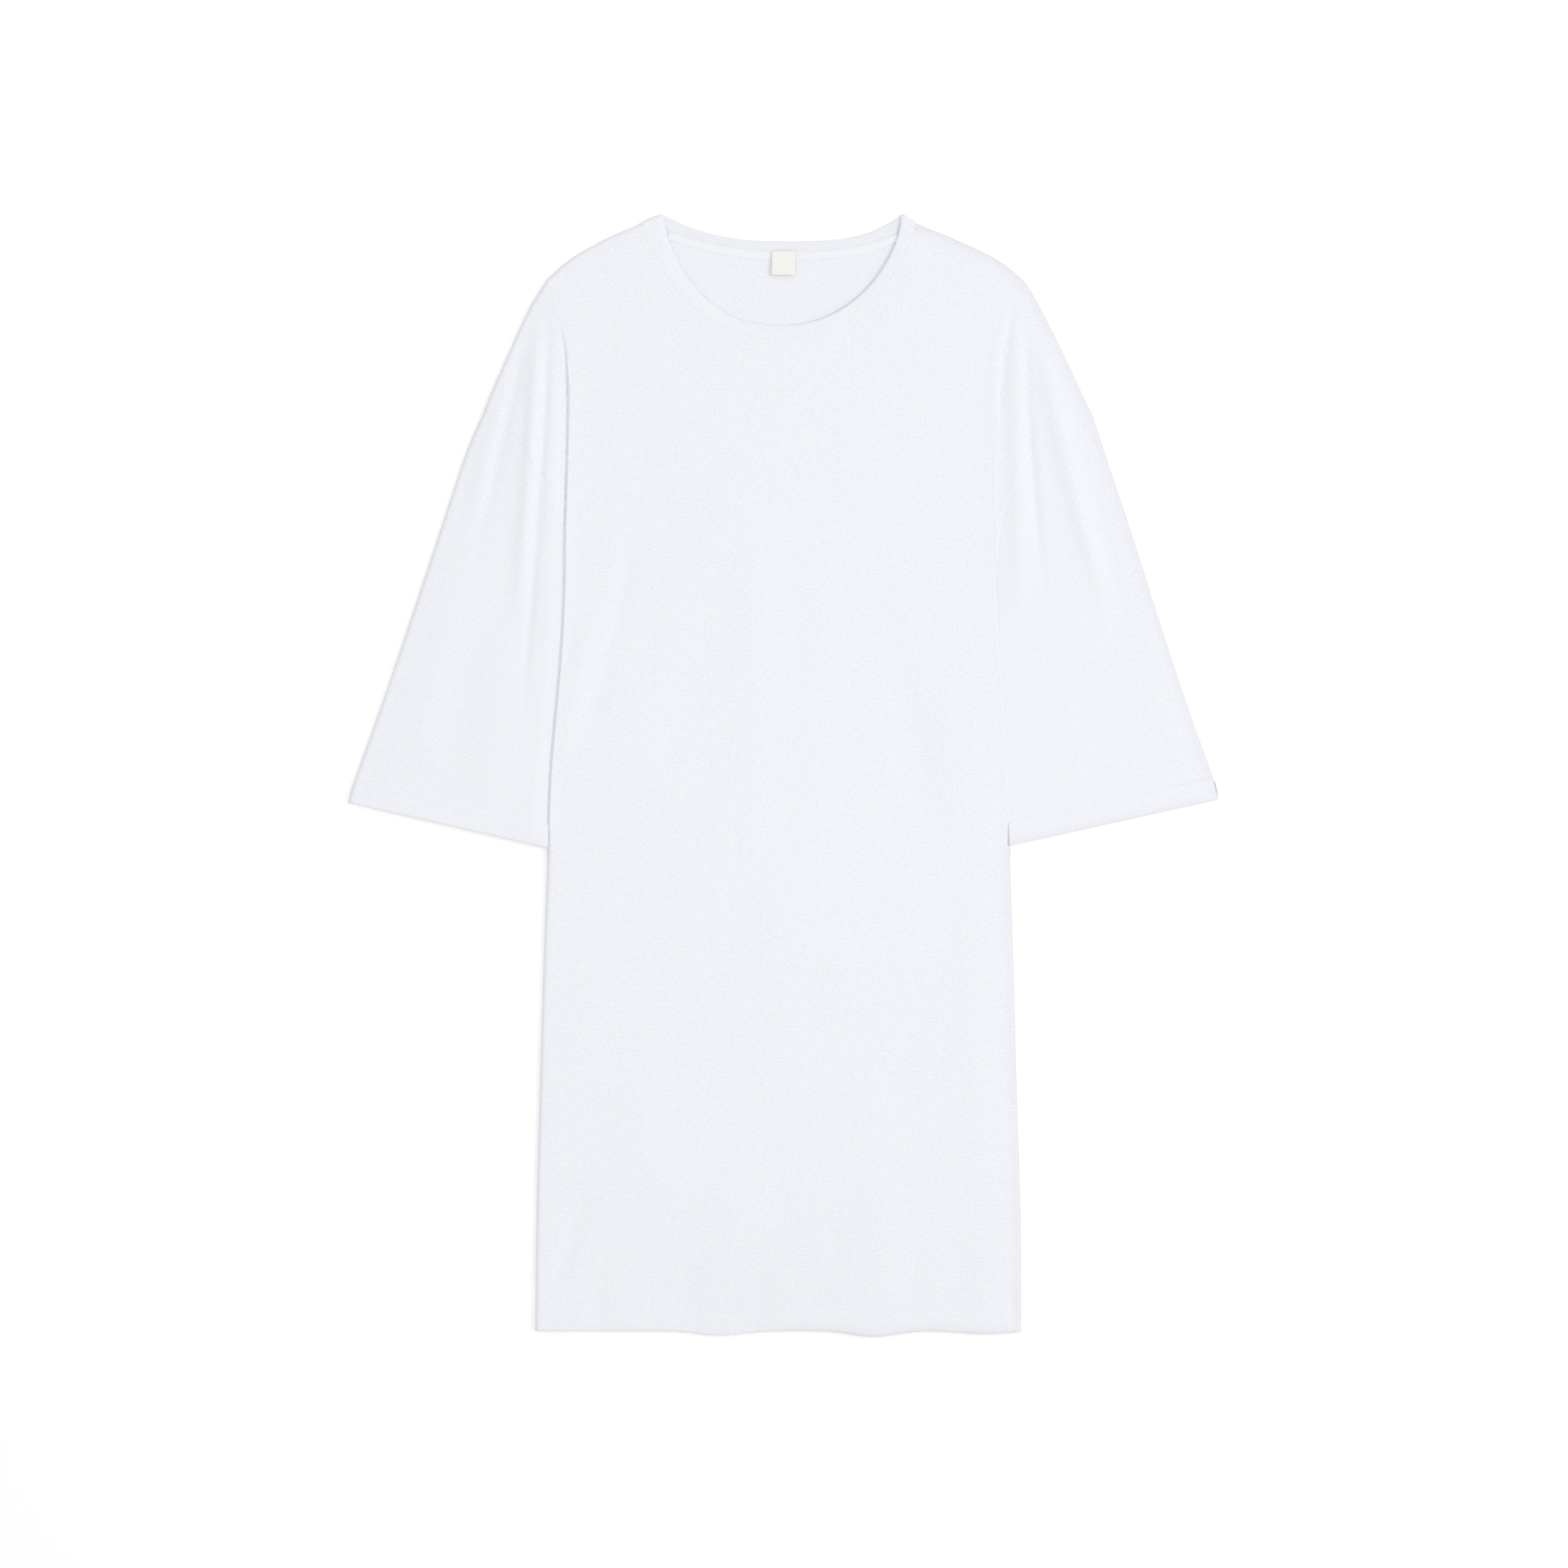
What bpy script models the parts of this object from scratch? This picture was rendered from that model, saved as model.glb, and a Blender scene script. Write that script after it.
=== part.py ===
# White jersey t-shirt dress, laid flat on its back with the sleeves folded down.
# X runs to the right, Y towards the neck and Z up. The origin is under the middle of the dress.
import math
from collections import namedtuple

import bmesh
import bpy
import numpy as np

MM = 0.001

# Driving sizes, in metres
LENGTH = 0.912            # top of the neckband to the lowest point of the hem
WALL = 0.0011             # jersey as a wall
HEM_EXTRA = 0.0007        # second layer of the turned-up hem
HEM_DEPTH = 0.0165
CUFF_DEPTH = 0.0185
SEAM_GAP = 0.0003
SIDE_GAP = 0.0007         # between a sleeve and the side of the body below the underarm
LAYER_GAP = 0.0003        # between the panels where they are pressed together
LOFT = 0.0017             # how far the front stands off the back where nothing folds it
ROLL_HEIGHT = 0.0016      # how much more it stands off beside a rolled edge
ROLL_REACH = 0.030
ROLL_WIDTH = 0.0050       # width over which an edge rolls down
PRESSED = 0.0004          # softens where a trough would go through the layer below
BAND_WALL = 0.0016        # neckband, folded double
BAND_CLEAR = 0.0008       # between the band's front and back halves at the neck points
BAND_RISE = 0.0012        # how much higher its free edge stands at the middle of the front
BAND_TURNS = (45, 90, 135)   # sections round the fold at a neck point, in degrees
TAPE_WALL = 0.0010
TAPE_BELOW = 0.0007       # from the neck seam to the tape's upper edge
TAPE_WIDTH = 0.0068
TAPE_REACH = 0.0925       # half length of the tape
LABEL_WIDTH = 0.0190
LABEL_LENGTH = 0.0196
LABEL_ACROSS = 0.0004     # middle of the label, right of the centre line
LABEL_DOWN = 0.0304       # its sewn edge, below the neck points
LABEL_WALL = 0.0010
LABEL_TURN = 7            # points of its folded end

# Columns of the panels, from each side edge to the middle
SIDE_STEPS = (0, 0.12, 0.28, 0.46, 0.64, 0.80, 0.92, 1)
INNER_STEPS = (0, 0.12, 0.30, 0.58, 1)
SHOULDER_COLUMNS = 3
NECK_COLUMNS = 26
SIDE_ROLL = 0.0060        # from the side edge to the last column of the rolled edge
INNER_WIDTH = 0.0260      # from there to the plain middle
LOWER_ROWS = 19           # rows from the hem to the underarm
ROWS_ABOVE = 14           # rows from the underarm to the shoulder
SLEEVE_ROWS = 13
HEM_ROWS = 4              # the lowest rows, which mark off the hem
FIRST_PLAIN_ROW = 45.0    # next row above the hem's lower edge, in mm
LAST_PLAIN_ROW = 24.0     # last row below the underarm, in mm
HEM_STEP = 2.5            # over which the hem's second layer ends, in mm
SHOULDER_CROWD = 1.3      # above 1, the columns crowd towards the shoulder point
TAPE_COLUMNS = 24
LINE_POINTS = 24          # points of a side edge, groove or outline
CURVE_STEPS = 12          # points between two places of a smooth line
FOLD_POINTS = 11
SHARP_ANGLE = 40          # edges turned by more stay sharp, in degrees

# How far the groove and the folds take to reach their depth, in shares of their length
GROOVE_FADE = 0.045
FOLD_START = 0.25
FOLD_END = 0.30
INNER_TURN = 0.1          # how far the hollow of a sleeve bulges into its folded edges

# Side edges of the body from the underarm to the hem, across each way and down, in mm
SIDES = (
    # down, left, right
    (301, 178.1, 172.8),
    (338, 179.7, 174.6),
    (364, 181.5, 176.2),
    (395, 184.2, 178.4),
    (450, 189.1, 182.2),
    (494, 191.0, 184.0),
    (525, 191.6, 184.4),
    (604, 194.5, 187.0),
    (737, 198.5, 190.6),
    (816, 200.4, 193.2),
    (912, 201.6, 193.6),
)

# Armhole seam from the underarm to the sleeve's outer edge
ARMHOLE = (
    # left across, left down, right across, right down
    (178.1, 301.0, 172.8, 301.0),
    (180.6, 258.0, 176.5, 258.0),
    (186.0, 229.5, 185.5, 228.0),
    (195.5, 213.0, 196.0, 208.5),
    (206.5, 199.0, 206.0, 191.0),
    (213.0, 188.0, 221.0, 177.5),
    (224.5, 178.0, 236.0, 167.5),
    (243.5, 161.5, 251.5, 163.5),
)

# Groove where the cloth tucks in beside each shoulder, underarm to shoulder point
GROOVE = (
    # left across, left down, right across, right down
    (178.1, 301.0, 172.8, 301.0),
    (177.7, 258.0, 170.8, 257.0),
    (176.1, 202.0, 170.0, 216.0),
    (175.3, 149.0, 171.5, 175.0),
    (176.9, 116.0, 172.5, 137.0),
    (180.0, 96.5, 176.2, 101.0),
    (186.0, 79.0, 188.0, 66.0),
    (191.5, 53.0, 194.5, 53.0),
)

# Outer edge of the shoulder from the armhole seam up to the neckband
SHOULDER_TIP = (
    # left across, left down, right across, right down
    (243.5, 161.5, 251.5, 163.5),
    (237.5, 146.0, 243.0, 146.0),
    (223.0, 113.0, 227.5, 113.0),
    (208.0, 80.0, 211.0, 80.0),
    (198.0, 63.0, 201.5, 63.0),
    (191.5, 53.0, 194.5, 53.0),
)
SHOULDER = (
    # left across, left down, right across, right down
    (191.5, 53.0, 194.5, 53.0),
    (173.0, 37.0, 173.5, 37.0),
    (145.5, 21.0, 140.5, 21.0),
    (115.0, 7.5, 107.5, 7.5),
)

# Outer edge of each sleeve from the armhole seam to the cuff
SLEEVE_EDGE = (
    # left across, left down, right across, right down
    (243.5, 161.5, 251.5, 163.5),
    (258.0, 195.5, 262.0, 195.5),
    (280.0, 261.5, 284.0, 261.5),
    (302.0, 327.5, 305.0, 327.5),
    (324.5, 393.5, 326.5, 393.5),
    (348.0, 459.5, 350.0, 459.5),
    (353.6, 478.0, 353.6, 476.0),
)
CUFF_DOWN = (515.0, 513.5)   # left and right, at the cuff's inner corner

# Curves of the neck: a sag between two ends, fuller as its powers grow
NeckCurve = namedtuple("NeckCurve", "middle half_width top depth left_power right_power left_ease right_ease")
FRONT_SEAM = NeckCurve(-3.75, 111.25, 7.5, 92.5, 2.4, 2.5, 0.9, 0.8)
FRONT_EDGE = NeckCurve(-0.65, 97.0, 1.9, 88.9, 2.45, 2.1, 0.68, 0.60)
BACK_SEAM = NeckCurve(-3.75, 111.25, 7.5, 23.5, 2.0, 3.0, 1.2, 1.0)
BACK_EDGE = NeckCurve(-0.65, 97.0, 1.9, 20.2, 2.5, 3.5, 1.0, 1.0)

# Waves of the hem's lower edge, in mm
HEM_DOWN = 907.2
HEM_FADE = 90.0
HEM_WAVES = (
    # across, half width, drop
    (-49.5, 24, 3.6),
    (75.0, 24, 4.6),
    (166.0, 28, 2.2),
)

# Folds of the upper layer: places in mm across and down, widths and heights in mm
Fold = namedtuple("Fold", "start middle end half_width height")
FOLDS = (
    # left shoulder and sleeve
    Fold((-193, 62), (-195, 175), (-214, 425), 3.6, -1.7),
    Fold((-200, 68), (-204, 175), (-217, 345), 6, 2.4),
    Fold((-208, 88), (-221, 150), (-252, 285), 4.6, -1.4),
    Fold((-222, 137), (-236, 176), (-254, 262), 8, 1.6),
    Fold((-262, 260), (-280, 345), (-300, 440), 20, 1.0),
    Fold((-226, 330), (-236, 420), (-243, 500), 16, 0.9),
    # right shoulder and sleeve
    Fold((188, 64), (181, 110), (175, 172), 3.2, -1.0),
    Fold((193, 64), (190, 185), (193, 345), 7, 1.7),
    Fold((197, 62), (199, 165), (213, 325), 3.4, -1.9),
    Fold((209, 86), (232, 205), (272, 345), 9, 3.2),
    Fold((246, 210), (262, 280), (288, 380), 10, -1.0),
    Fold((290, 300), (305, 370), (318, 440), 14, 1.0),
    Fold((222, 360), (232, 430), (243, 500), 15, 0.9),
    # body
    Fold((-122, 245), (-140, 354), (-172, 452), 8, -1.1),
    Fold((-150, 310), (-168, 380), (-180, 450), 9, 1.0),
    Fold((-160, 790), (-172, 832), (-189, 886), 7, -1.0),
    Fold((35, 815), (43, 836), (52, 856), 6, -0.7),
    Fold((183, 872), (187, 890), (191, 908), 5, -0.8),
    Fold((-22, 215), (-20, 380), (-24, 560), 24, 0.8),
    Fold((28, 215), (31, 380), (28, 560), 18, 0.6),
    Fold((128, 310), (155, 486), (166, 890), 26, 1.2),
    Fold((78, 330), (98, 410), (112, 500), 16, -0.8),
    Fold((-95, 560), (-110, 720), (-104, 880), 30, 0.8),
    # flutes that run up from the hem
    Fold((-151, 850), (-151, 885), (-150, 915), 9, -0.8),
    Fold((-76, 840), (-77, 880), (-76, 915), 9, -0.9),
    Fold((-19, 840), (-20, 880), (-20, 915), 10, -0.8),
    Fold((102, 830), (104, 875), (105, 915), 11, -0.9),
    Fold((-49, 800), (-49, 865), (-49, 920), 18, 1.6),
    Fold((75, 800), (76, 865), (75, 920), 18, 1.8),
    Fold((166, 820), (167, 870), (167, 920), 18, 1.0),
)

CLOTH_COLOUR = (0.86, 0.87, 0.90, 1.0)
BAND_COLOUR = (0.87, 0.88, 0.90, 1.0)
TAPE_COLOUR = (0.84, 0.85, 0.88, 1.0)
LABEL_COLOUR = (0.86, 0.845, 0.81, 1.0)


def ease(value):
    """0 up to 0, 1 from 1, and a smooth step between."""
    value = np.clip(value, 0.0, 1.0)
    return value * value * (3 - 2 * value)


def side_points(table, side):
    """One side of a four-column table, with across negative on the left."""
    column = 0 if side < 0 else 2
    return [(side * row[column], row[column + 1]) for row in table]


def smooth_line(points, shares):
    """Points at the given shares of the length of a smooth line through points."""
    points = np.array(points, float)
    first = 2 * points[0] - points[1]
    last = 2 * points[-1] - points[-2]
    p = np.vstack([first, points, last])
    t = np.linspace(0, 1, CURVE_STEPS, endpoint=False)[:, None]
    fine = []
    for a, b, c, d in zip(p[:-3], p[1:-2], p[2:-1], p[3:], strict=True):
        bend = (2 * a - 5 * b + 4 * c - d) * t**2 + (3 * b - a - 3 * c + d) * t**3
        fine.append(b + 0.5 * ((c - a) * t + bend))
    fine = np.vstack([*fine, points[-1:]])
    run = np.concatenate([[0], np.cumsum(np.linalg.norm(np.diff(fine, axis=0), axis=1))])
    at = np.asarray(shares) * run[-1]
    return np.column_stack([np.interp(at, run, fine[:, 0]), np.interp(at, run, fine[:, 1])])


def sag(curve, share, outwards=0.0):
    """A place on a neck curve, with share from -1 at its left end to 1 at its right."""
    half_width = curve.half_width + outwards
    depth = curve.depth + outwards
    power, rise = (
        (curve.left_power, curve.left_ease) if share < 0 else (curve.right_power, curve.right_ease)
    )
    down = curve.top + depth * (1 - abs(share) ** power) ** rise
    return (curve.middle + share * half_width, down)


def nearest(points, line):
    """Distance from each point to a line of straight pieces, and how far along it that is."""
    line = np.array(line, float)
    best = np.full(len(points), np.inf)
    along = np.zeros(len(points))
    lengths = np.linalg.norm(np.diff(line, axis=0), axis=1)
    before = np.concatenate([[0], np.cumsum(lengths)])
    for i, (a, b) in enumerate(zip(line[:-1], line[1:], strict=True)):
        share = np.clip(((points - a) @ (b - a)) / max(lengths[i] ** 2, 1e-12), 0, 1)
        away = np.linalg.norm(points - (a + share[:, None] * (b - a)), axis=1)
        closer = away < best
        best = np.where(closer, away, best)
        along = np.where(closer, (before[i] + share * lengths[i]) / before[-1], along)
    return best, along


def side_line(side):
    """The groove from the shoulder point to the underarm, then the body's side edge to the hem."""
    shares = np.linspace(0, 1, LINE_POINTS)
    groove = smooth_line(side_points(GROOVE, side)[::-1], shares)
    column = 1 if side < 0 else 2
    edge = smooth_line([(side * row[column], row[0]) for row in SIDES], shares)
    return np.vstack([groove, edge[1:]])


def outer_line(side):
    """The edge of the dress from the neck over the shoulder and down the sleeve to the cuff."""
    shares = np.linspace(0, 1, LINE_POINTS)
    shoulder = smooth_line(side_points(SHOULDER, side)[::-1], shares)
    tip = smooth_line(side_points(SHOULDER_TIP, side)[::-1], shares)
    sleeve = smooth_line(side_points(SLEEVE_EDGE, side), shares)
    return np.vstack([shoulder, tip[1:], sleeve[1:]])


def rolled(distance):
    """The quarter-round profile of a rolled edge: 0 at the edge and 1 from ROLL_WIDTH in."""
    share = np.clip(distance * MM / ROLL_WIDTH, 0, 1)
    return np.sqrt(1 - (1 - share) ** 2)


def fold_height(points, fold):
    t = np.linspace(0, 1, FOLD_POINTS)[:, None]
    start, middle, end = (np.array(p, float) for p in (fold.start, fold.middle, fold.end))
    control = 2 * middle - (start + end) / 2
    line = (1 - t) ** 2 * start + 2 * t * (1 - t) * control + t**2 * end
    away, along = nearest(points, line)
    taper = ease(along / FOLD_START) * ease((1 - along) / FOLD_END)
    return fold.height * MM * taper * np.exp(-((away / fold.half_width) ** 2))


def stand_off(points):
    """Clear height between the lower and the upper layer at places in mm across and down."""
    points = np.asarray(points, float)
    sides = [nearest(points, side_line(side)) for side in (-1, 1)]
    outer = np.minimum(*(nearest(points, outer_line(side))[0] for side in (-1, 1)))
    edge = rolled(outer)
    for away, along in sides:
        depth = ease(along / GROOVE_FADE)
        edge = edge * (1 - depth * (1 - rolled(away)))
    near = np.minimum(sides[0][0], sides[1][0])
    height = LOFT + ROLL_HEIGHT * np.exp(-near * MM / ROLL_REACH)
    for fold in FOLDS:
        height = height + fold_height(points, fold)
    return LAYER_GAP + edge * (height + np.hypot(height, PRESSED)) / 2


def hem_wave(across):
    return sum(drop * np.exp(-(((across - at) / width) ** 2)) for at, width, drop in HEM_WAVES)


def to_world(points, heights):
    """Places in mm across and down, and heights in metres, as world coordinates."""
    points = np.asarray(points, float) * MM
    return np.column_stack([points[:, 0], LENGTH / 2 - points[:, 1], heights])


def side_edge(down, side):
    """How far from the middle the side edge of the body lies, in mm."""
    column = 1 if side < 0 else 2
    return np.interp(down, [row[0] for row in SIDES], [row[column] for row in SIDES])


def panel_rows(neck):
    """Places of a body panel's points, row by row from the hem to the shoulders."""
    hem = HEM_DEPTH / MM
    levels = [HEM_DOWN, HEM_DOWN - hem / 2, HEM_DOWN - hem, HEM_DOWN - hem - HEM_STEP]
    first = HEM_DOWN - FIRST_PLAIN_ROW
    last = SIDES[0][0] + LAST_PLAIN_ROW
    levels += list(np.linspace(first, last, LOWER_ROWS - HEM_ROWS))
    rows = []
    for level in levels:
        follow = ease(1 - (HEM_DOWN - level) / HEM_FADE)
        left = -side_edge(level, -1)
        right = side_edge(level, 1)
        keys = [(left, level), (left + SIDE_ROLL / MM, level)]
        keys += [(right - SIDE_ROLL / MM, level), (right, level)]
        row = fill_row(keys)
        row[:, 1] += follow * hem_wave(row[:, 0])
        rows.append(row)
    shares = np.linspace(0, 1, ROWS_ABOVE + 1)
    ends = [smooth_line(side_points(ARMHOLE, side), shares) for side in (-1, 1)]
    grooves = [smooth_line(side_points(GROOVE, side), shares) for side in (-1, 1)]
    top = top_row(neck)
    plain_top = fill_row([ends[0][-1], grooves[0][-1], grooves[1][-1], ends[1][-1]])
    for share, *keys in zip(shares, ends[0], grooves[0], grooves[1], ends[1], strict=True):
        inset = (1 - share) ** 2 * SIDE_ROLL / MM
        keys[1] = keys[1] + (inset, 0)
        keys[2] = keys[2] - (inset, 0)
        rows.append(fill_row(keys) + share**2 * (top - plain_top))
    return np.array(rows)


def fill_row(keys):
    """Points between a row's four keys: side edge, groove, groove, side edge."""
    left, left_groove, right_groove, right = (np.array(key, float) for key in keys)
    width = right_groove[0] - left_groove[0]
    inner = INNER_WIDTH / MM / width
    middle = np.linspace(inner, 1 - inner, 2 * SHOULDER_COLUMNS + NECK_COLUMNS + 1)
    across = [inner * step for step in INNER_STEPS] + list(middle[1:-1])
    across += [1 - inner * step for step in INNER_STEPS[::-1]]
    points = [left + step * (left_groove - left) for step in SIDE_STEPS[:-1]]
    points += [left_groove + share * (right_groove - left_groove) for share in across]
    points += [right + step * (right_groove - right) for step in SIDE_STEPS[-2::-1]]
    return np.array(points)


def top_row(neck):
    """The panel's upper boundary: shoulder, neck curve and shoulder, with fill_row's columns."""
    gap = SEAM_GAP / MM
    inner = len(INNER_STEPS) - 1 + SHOULDER_COLUMNS
    halves = []
    for side in (-1, 1):
        tip = smooth_line(side_points(SHOULDER_TIP, side), SIDE_STEPS)
        shares = np.linspace(0, 1, inner + 1) ** SHOULDER_CROWD
        shoulder = smooth_line(side_points(SHOULDER, side), shares)
        shoulder[-1] = sag(neck, side, gap)
        halves.append(np.vstack([tip[:-1], shoulder]))
    curve = [sag(neck, share, gap) for share in neck_shares(NECK_COLUMNS)[1:-1]]
    return np.vstack([halves[0], curve, halves[1][::-1]])


def neck_shares(count):
    """Shares along a neck curve, closer together towards its steep ends."""
    return [math.sin(math.pi / 2 * share) for share in np.linspace(-1, 1, count + 1)]


def add_object(name, mesh, colour):
    material = bpy.data.materials.new(name + "_cloth")
    material.use_nodes = True
    shader = material.node_tree.nodes["Principled BSDF"]
    shader.inputs["Base Color"].default_value = colour
    shader.inputs["Roughness"].default_value = 0.9
    shader.inputs["Metallic"].default_value = 0.0
    material.diffuse_color = colour
    mesh.materials.append(material)
    mesh.shade_smooth()
    mesh.set_sharp_from_angle(angle=math.radians(SHARP_ANGLE))
    made = bpy.data.objects.new(name, mesh)
    dress.objects.link(made)
    return made


def add_sheet(name, rows, lower, upper, colour):
    """A wall on a grid of places: a grid primitive set to its lower face, then raised."""
    count, across = rows.shape[:2]
    bm = bmesh.new()
    bmesh.ops.create_grid(bm, x_segments=across - 1, y_segments=count - 1, size=0.5)
    bm.verts.ensure_lookup_table()
    places = rows.reshape(-1, 2)
    low = to_world(places, lower(places))
    high = to_world(places, upper(places))
    number = bm.verts.layers.int.new("place")
    for i, vertex in enumerate(bm.verts):
        vertex.co = low[i]
        vertex[number] = i
    raised = bmesh.ops.extrude_face_region(bm, geom=bm.faces[:])
    for vertex in raised["geom"]:
        if isinstance(vertex, bmesh.types.BMVert):
            vertex.co = high[vertex[number]]
    bmesh.ops.recalc_face_normals(bm, faces=bm.faces[:])
    mesh = bpy.data.meshes.new(name)
    bm.to_mesh(mesh)
    bm.free()
    return add_object(name, mesh, colour)


def add_loft(name, rings, colour):
    """A ring-shaped solid skinned between sections, each a closed loop of places in metres."""
    bm = bmesh.new()
    loops = [[bm.verts.new(place) for place in ring] for ring in rings]
    for ring, following in zip(loops, loops[1:] + loops[:1], strict=True):
        turned = zip(ring, ring[1:] + ring[:1], following[1:] + following[:1], following, strict=True)
        for corners in turned:
            bm.faces.new(corners)
    bmesh.ops.recalc_face_normals(bm, faces=bm.faces[:])
    mesh = bpy.data.meshes.new(name)
    bm.to_mesh(mesh)
    bm.free()
    return add_object(name, mesh, colour)


def body_hem(places):
    """1 in the turned-up hem of the body, 0 above it."""
    above = HEM_DOWN + hem_wave(places[:, 0]) - places[:, 1]
    return ease((HEM_DEPTH / MM + HEM_STEP - above) / HEM_STEP)


def back_top(places):
    return WALL + HEM_EXTRA * body_hem(places)


def front_bottom(places):
    return back_top(places) + stand_off(places)


def front_top(places):
    return front_bottom(places) + WALL + HEM_EXTRA * body_hem(places)


def add_body():
    rows = panel_rows(BACK_SEAM)
    count = rows.shape[1]
    side = len(SIDE_STEPS) - 1
    neck = side + len(INNER_STEPS) - 1 + SHOULDER_COLUMNS
    edge = [0, 2, 4, side, side + len(INNER_STEPS) - 1]
    columns = edge + list(range(neck, count - neck)) + [count - 1 - at for at in edge[::-1]]
    hem = list(range(HEM_ROWS))
    plain = list(range(HEM_ROWS + 1, LOWER_ROWS, 2))
    above = list(range(LOWER_ROWS, len(rows)))
    rows = rows[hem + plain + above][:, columns]
    add_sheet("back", rows, lambda places: np.zeros(len(places)), back_top, CLOTH_COLOUR)
    add_sheet("front", panel_rows(FRONT_SEAM), front_bottom, front_top, CLOTH_COLOUR)


def sleeve_rows(side):
    """Places across and along one sleeve, from the armhole seam to the cuff."""
    shares = np.linspace(0, 1, ROWS_ABOVE + 1)
    seam = smooth_line(side_points(ARMHOLE, side), shares)[::-1]
    along = np.gradient(seam, axis=0)
    normal = np.column_stack([-along[:, 1], along[:, 0]]) * (1 if side < 0 else -1)
    normal /= np.linalg.norm(normal, axis=1)[:, None]
    seam = seam + normal * SEAM_GAP / MM
    run = np.concatenate([[0], np.cumsum(np.linalg.norm(np.diff(seam, axis=0), axis=1))])
    across = run / run[-1]
    steps = sleeve_steps(side)
    outer = smooth_line(side_points(SLEEVE_EDGE, side), steps)
    corner = CUFF_DOWN[0 if side < 0 else 1]
    inner_down = seam[-1][1] + steps * (corner - seam[-1][1])
    inner_across = side * (side_edge(inner_down, side) + SIDE_GAP / MM)
    inner = np.column_stack([inner_across, inner_down])
    cuff = outer[-1] + across[:, None] * (inner[-1] - outer[-1])
    rows = []
    for share, start, end in zip(steps, outer, inner, strict=True):
        row = seam + share * (cuff - seam)
        row += (1 - across[:, None]) * (start - row[0]) + across[:, None] * (end - row[-1])
        rows.append(row)
    return np.array(rows)


def sleeve_steps(side):
    """Shares of a sleeve's length at its sections, with the cuff's hem marked off."""
    edge = np.array(side_points(SLEEVE_EDGE, side))
    length = np.linalg.norm(np.diff(edge, axis=0), axis=1).sum()
    hem = CUFF_DEPTH / MM / length
    plain = np.linspace(0, 1 - hem - HEM_STEP / length, SLEEVE_ROWS - 2)
    return np.concatenate([plain, [1 - hem, 1]])


def add_sleeve(name, side):
    """A flattened tube: each section runs over the top, round one edge, under and back."""
    rows = sleeve_rows(side)
    turn = (WALL + LAYER_GAP / 2) / MM
    outside = []
    inside = []
    for number, row in enumerate(rows):
        hem = HEM_EXTRA if number >= len(rows) - 2 else 0.0
        start = row[0].copy()
        end = row[-1].copy()
        inward = (end - start) / np.linalg.norm(end - start) * turn
        row = row.copy()
        row[0] = start + inward
        row[-1] = end - inward
        low = np.full(len(row), WALL) + hem
        high = low + stand_off(row)
        middle = (low + high) / 2
        over = to_world(row, high + WALL + hem)
        under = to_world(row[::-1], np.zeros(len(row)))
        far = to_world([end], [middle[-1]])
        near = to_world([start], [middle[0]])
        outside.append(np.vstack([over, far, under, near]))
        ceiling = to_world(row, high)
        floor = to_world(row[::-1], low[::-1])
        far = to_world([row[-1] + INNER_TURN * inward], [middle[-1]])
        near = to_world([row[0] - INNER_TURN * inward], [middle[0]])
        inside.append(np.vstack([ceiling, far, floor, near]))
    add_loft(name, [ring.tolist() for ring in outside + inside[::-1]], CLOTH_COLOUR)


def band_section(seam, edge, heights, outwards=(0.0, 0.0)):
    """Four corners of the band: seam side low and high, free edge high and low."""
    seam = np.array(seam) + outwards
    edge = np.array(edge) + outwards
    return to_world([seam, seam, edge, edge], heights)


def add_neckband():
    """A folded band: its front half lies on the front, its back half on the table."""
    low = BAND_WALL + BAND_CLEAR
    turn = low + BAND_WALL
    sections = []
    shares = neck_shares(NECK_COLUMNS)
    for share in shares:
        rise = BAND_RISE * math.cos(math.pi / 2 * share) ** 2
        heights = [low, turn, turn + rise, low + rise]
        sections.append(band_section(sag(FRONT_SEAM, share), sag(FRONT_EDGE, share), heights))
    sections += band_turn(1, turn)
    for share in shares[::-1]:
        heights = [BAND_WALL, 0, 0, BAND_WALL]
        sections.append(band_section(sag(BACK_SEAM, share), sag(BACK_EDGE, share), heights))
    sections += band_turn(-1, turn)[::-1]
    add_loft("neckband", [section.tolist() for section in sections], BAND_COLOUR)


def band_turn(side, height):
    """Sections round the fold at a neck point, from the upper level to the lower."""
    seam = np.array(sag(FRONT_SEAM, side))
    edge = np.array(sag(FRONT_EDGE, side))
    width = (edge - seam) / np.linalg.norm(edge - seam)
    outwards = np.array([width[1], -width[0]])
    outwards *= math.copysign(1, -outwards[1])
    middle = height / 2
    inner = middle - BAND_WALL
    turned = []
    for angle in BAND_TURNS:
        sine = math.sin(math.radians(angle))
        cosine = math.cos(math.radians(angle))
        inner_height = middle + inner * cosine
        outer_height = middle + middle * cosine
        inner_place = inner * sine / MM * outwards
        outer_place = middle * sine / MM * outwards
        places = [seam + inner_place, seam + outer_place, edge + outer_place, edge + inner_place]
        heights = [inner_height, outer_height, outer_height, inner_height]
        turned.append(to_world(places, heights))
    return turned


def add_tape():
    """The tape over the back neck seam, on the back panel's inner face."""
    across = np.linspace(-TAPE_REACH / MM, TAPE_REACH / MM, TAPE_COLUMNS + 1)
    shares = (across - BACK_SEAM.middle) / BACK_SEAM.half_width
    upper = np.array([sag(BACK_SEAM, share) for share in shares])
    upper[:, 1] += TAPE_BELOW / MM
    along = np.gradient(upper, axis=0)
    normal = np.column_stack([-along[:, 1], along[:, 0]])
    normal /= np.linalg.norm(normal, axis=1)[:, None]
    lower = upper + normal * TAPE_WIDTH / MM
    rest = WALL + LAYER_GAP
    rows = np.array([lower, upper])
    add_sheet(
        "neck_tape",
        rows,
        lambda places: np.full(len(places), rest),
        lambda places: np.full(len(places), rest + TAPE_WALL),
        TAPE_COLOUR,
    )


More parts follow.
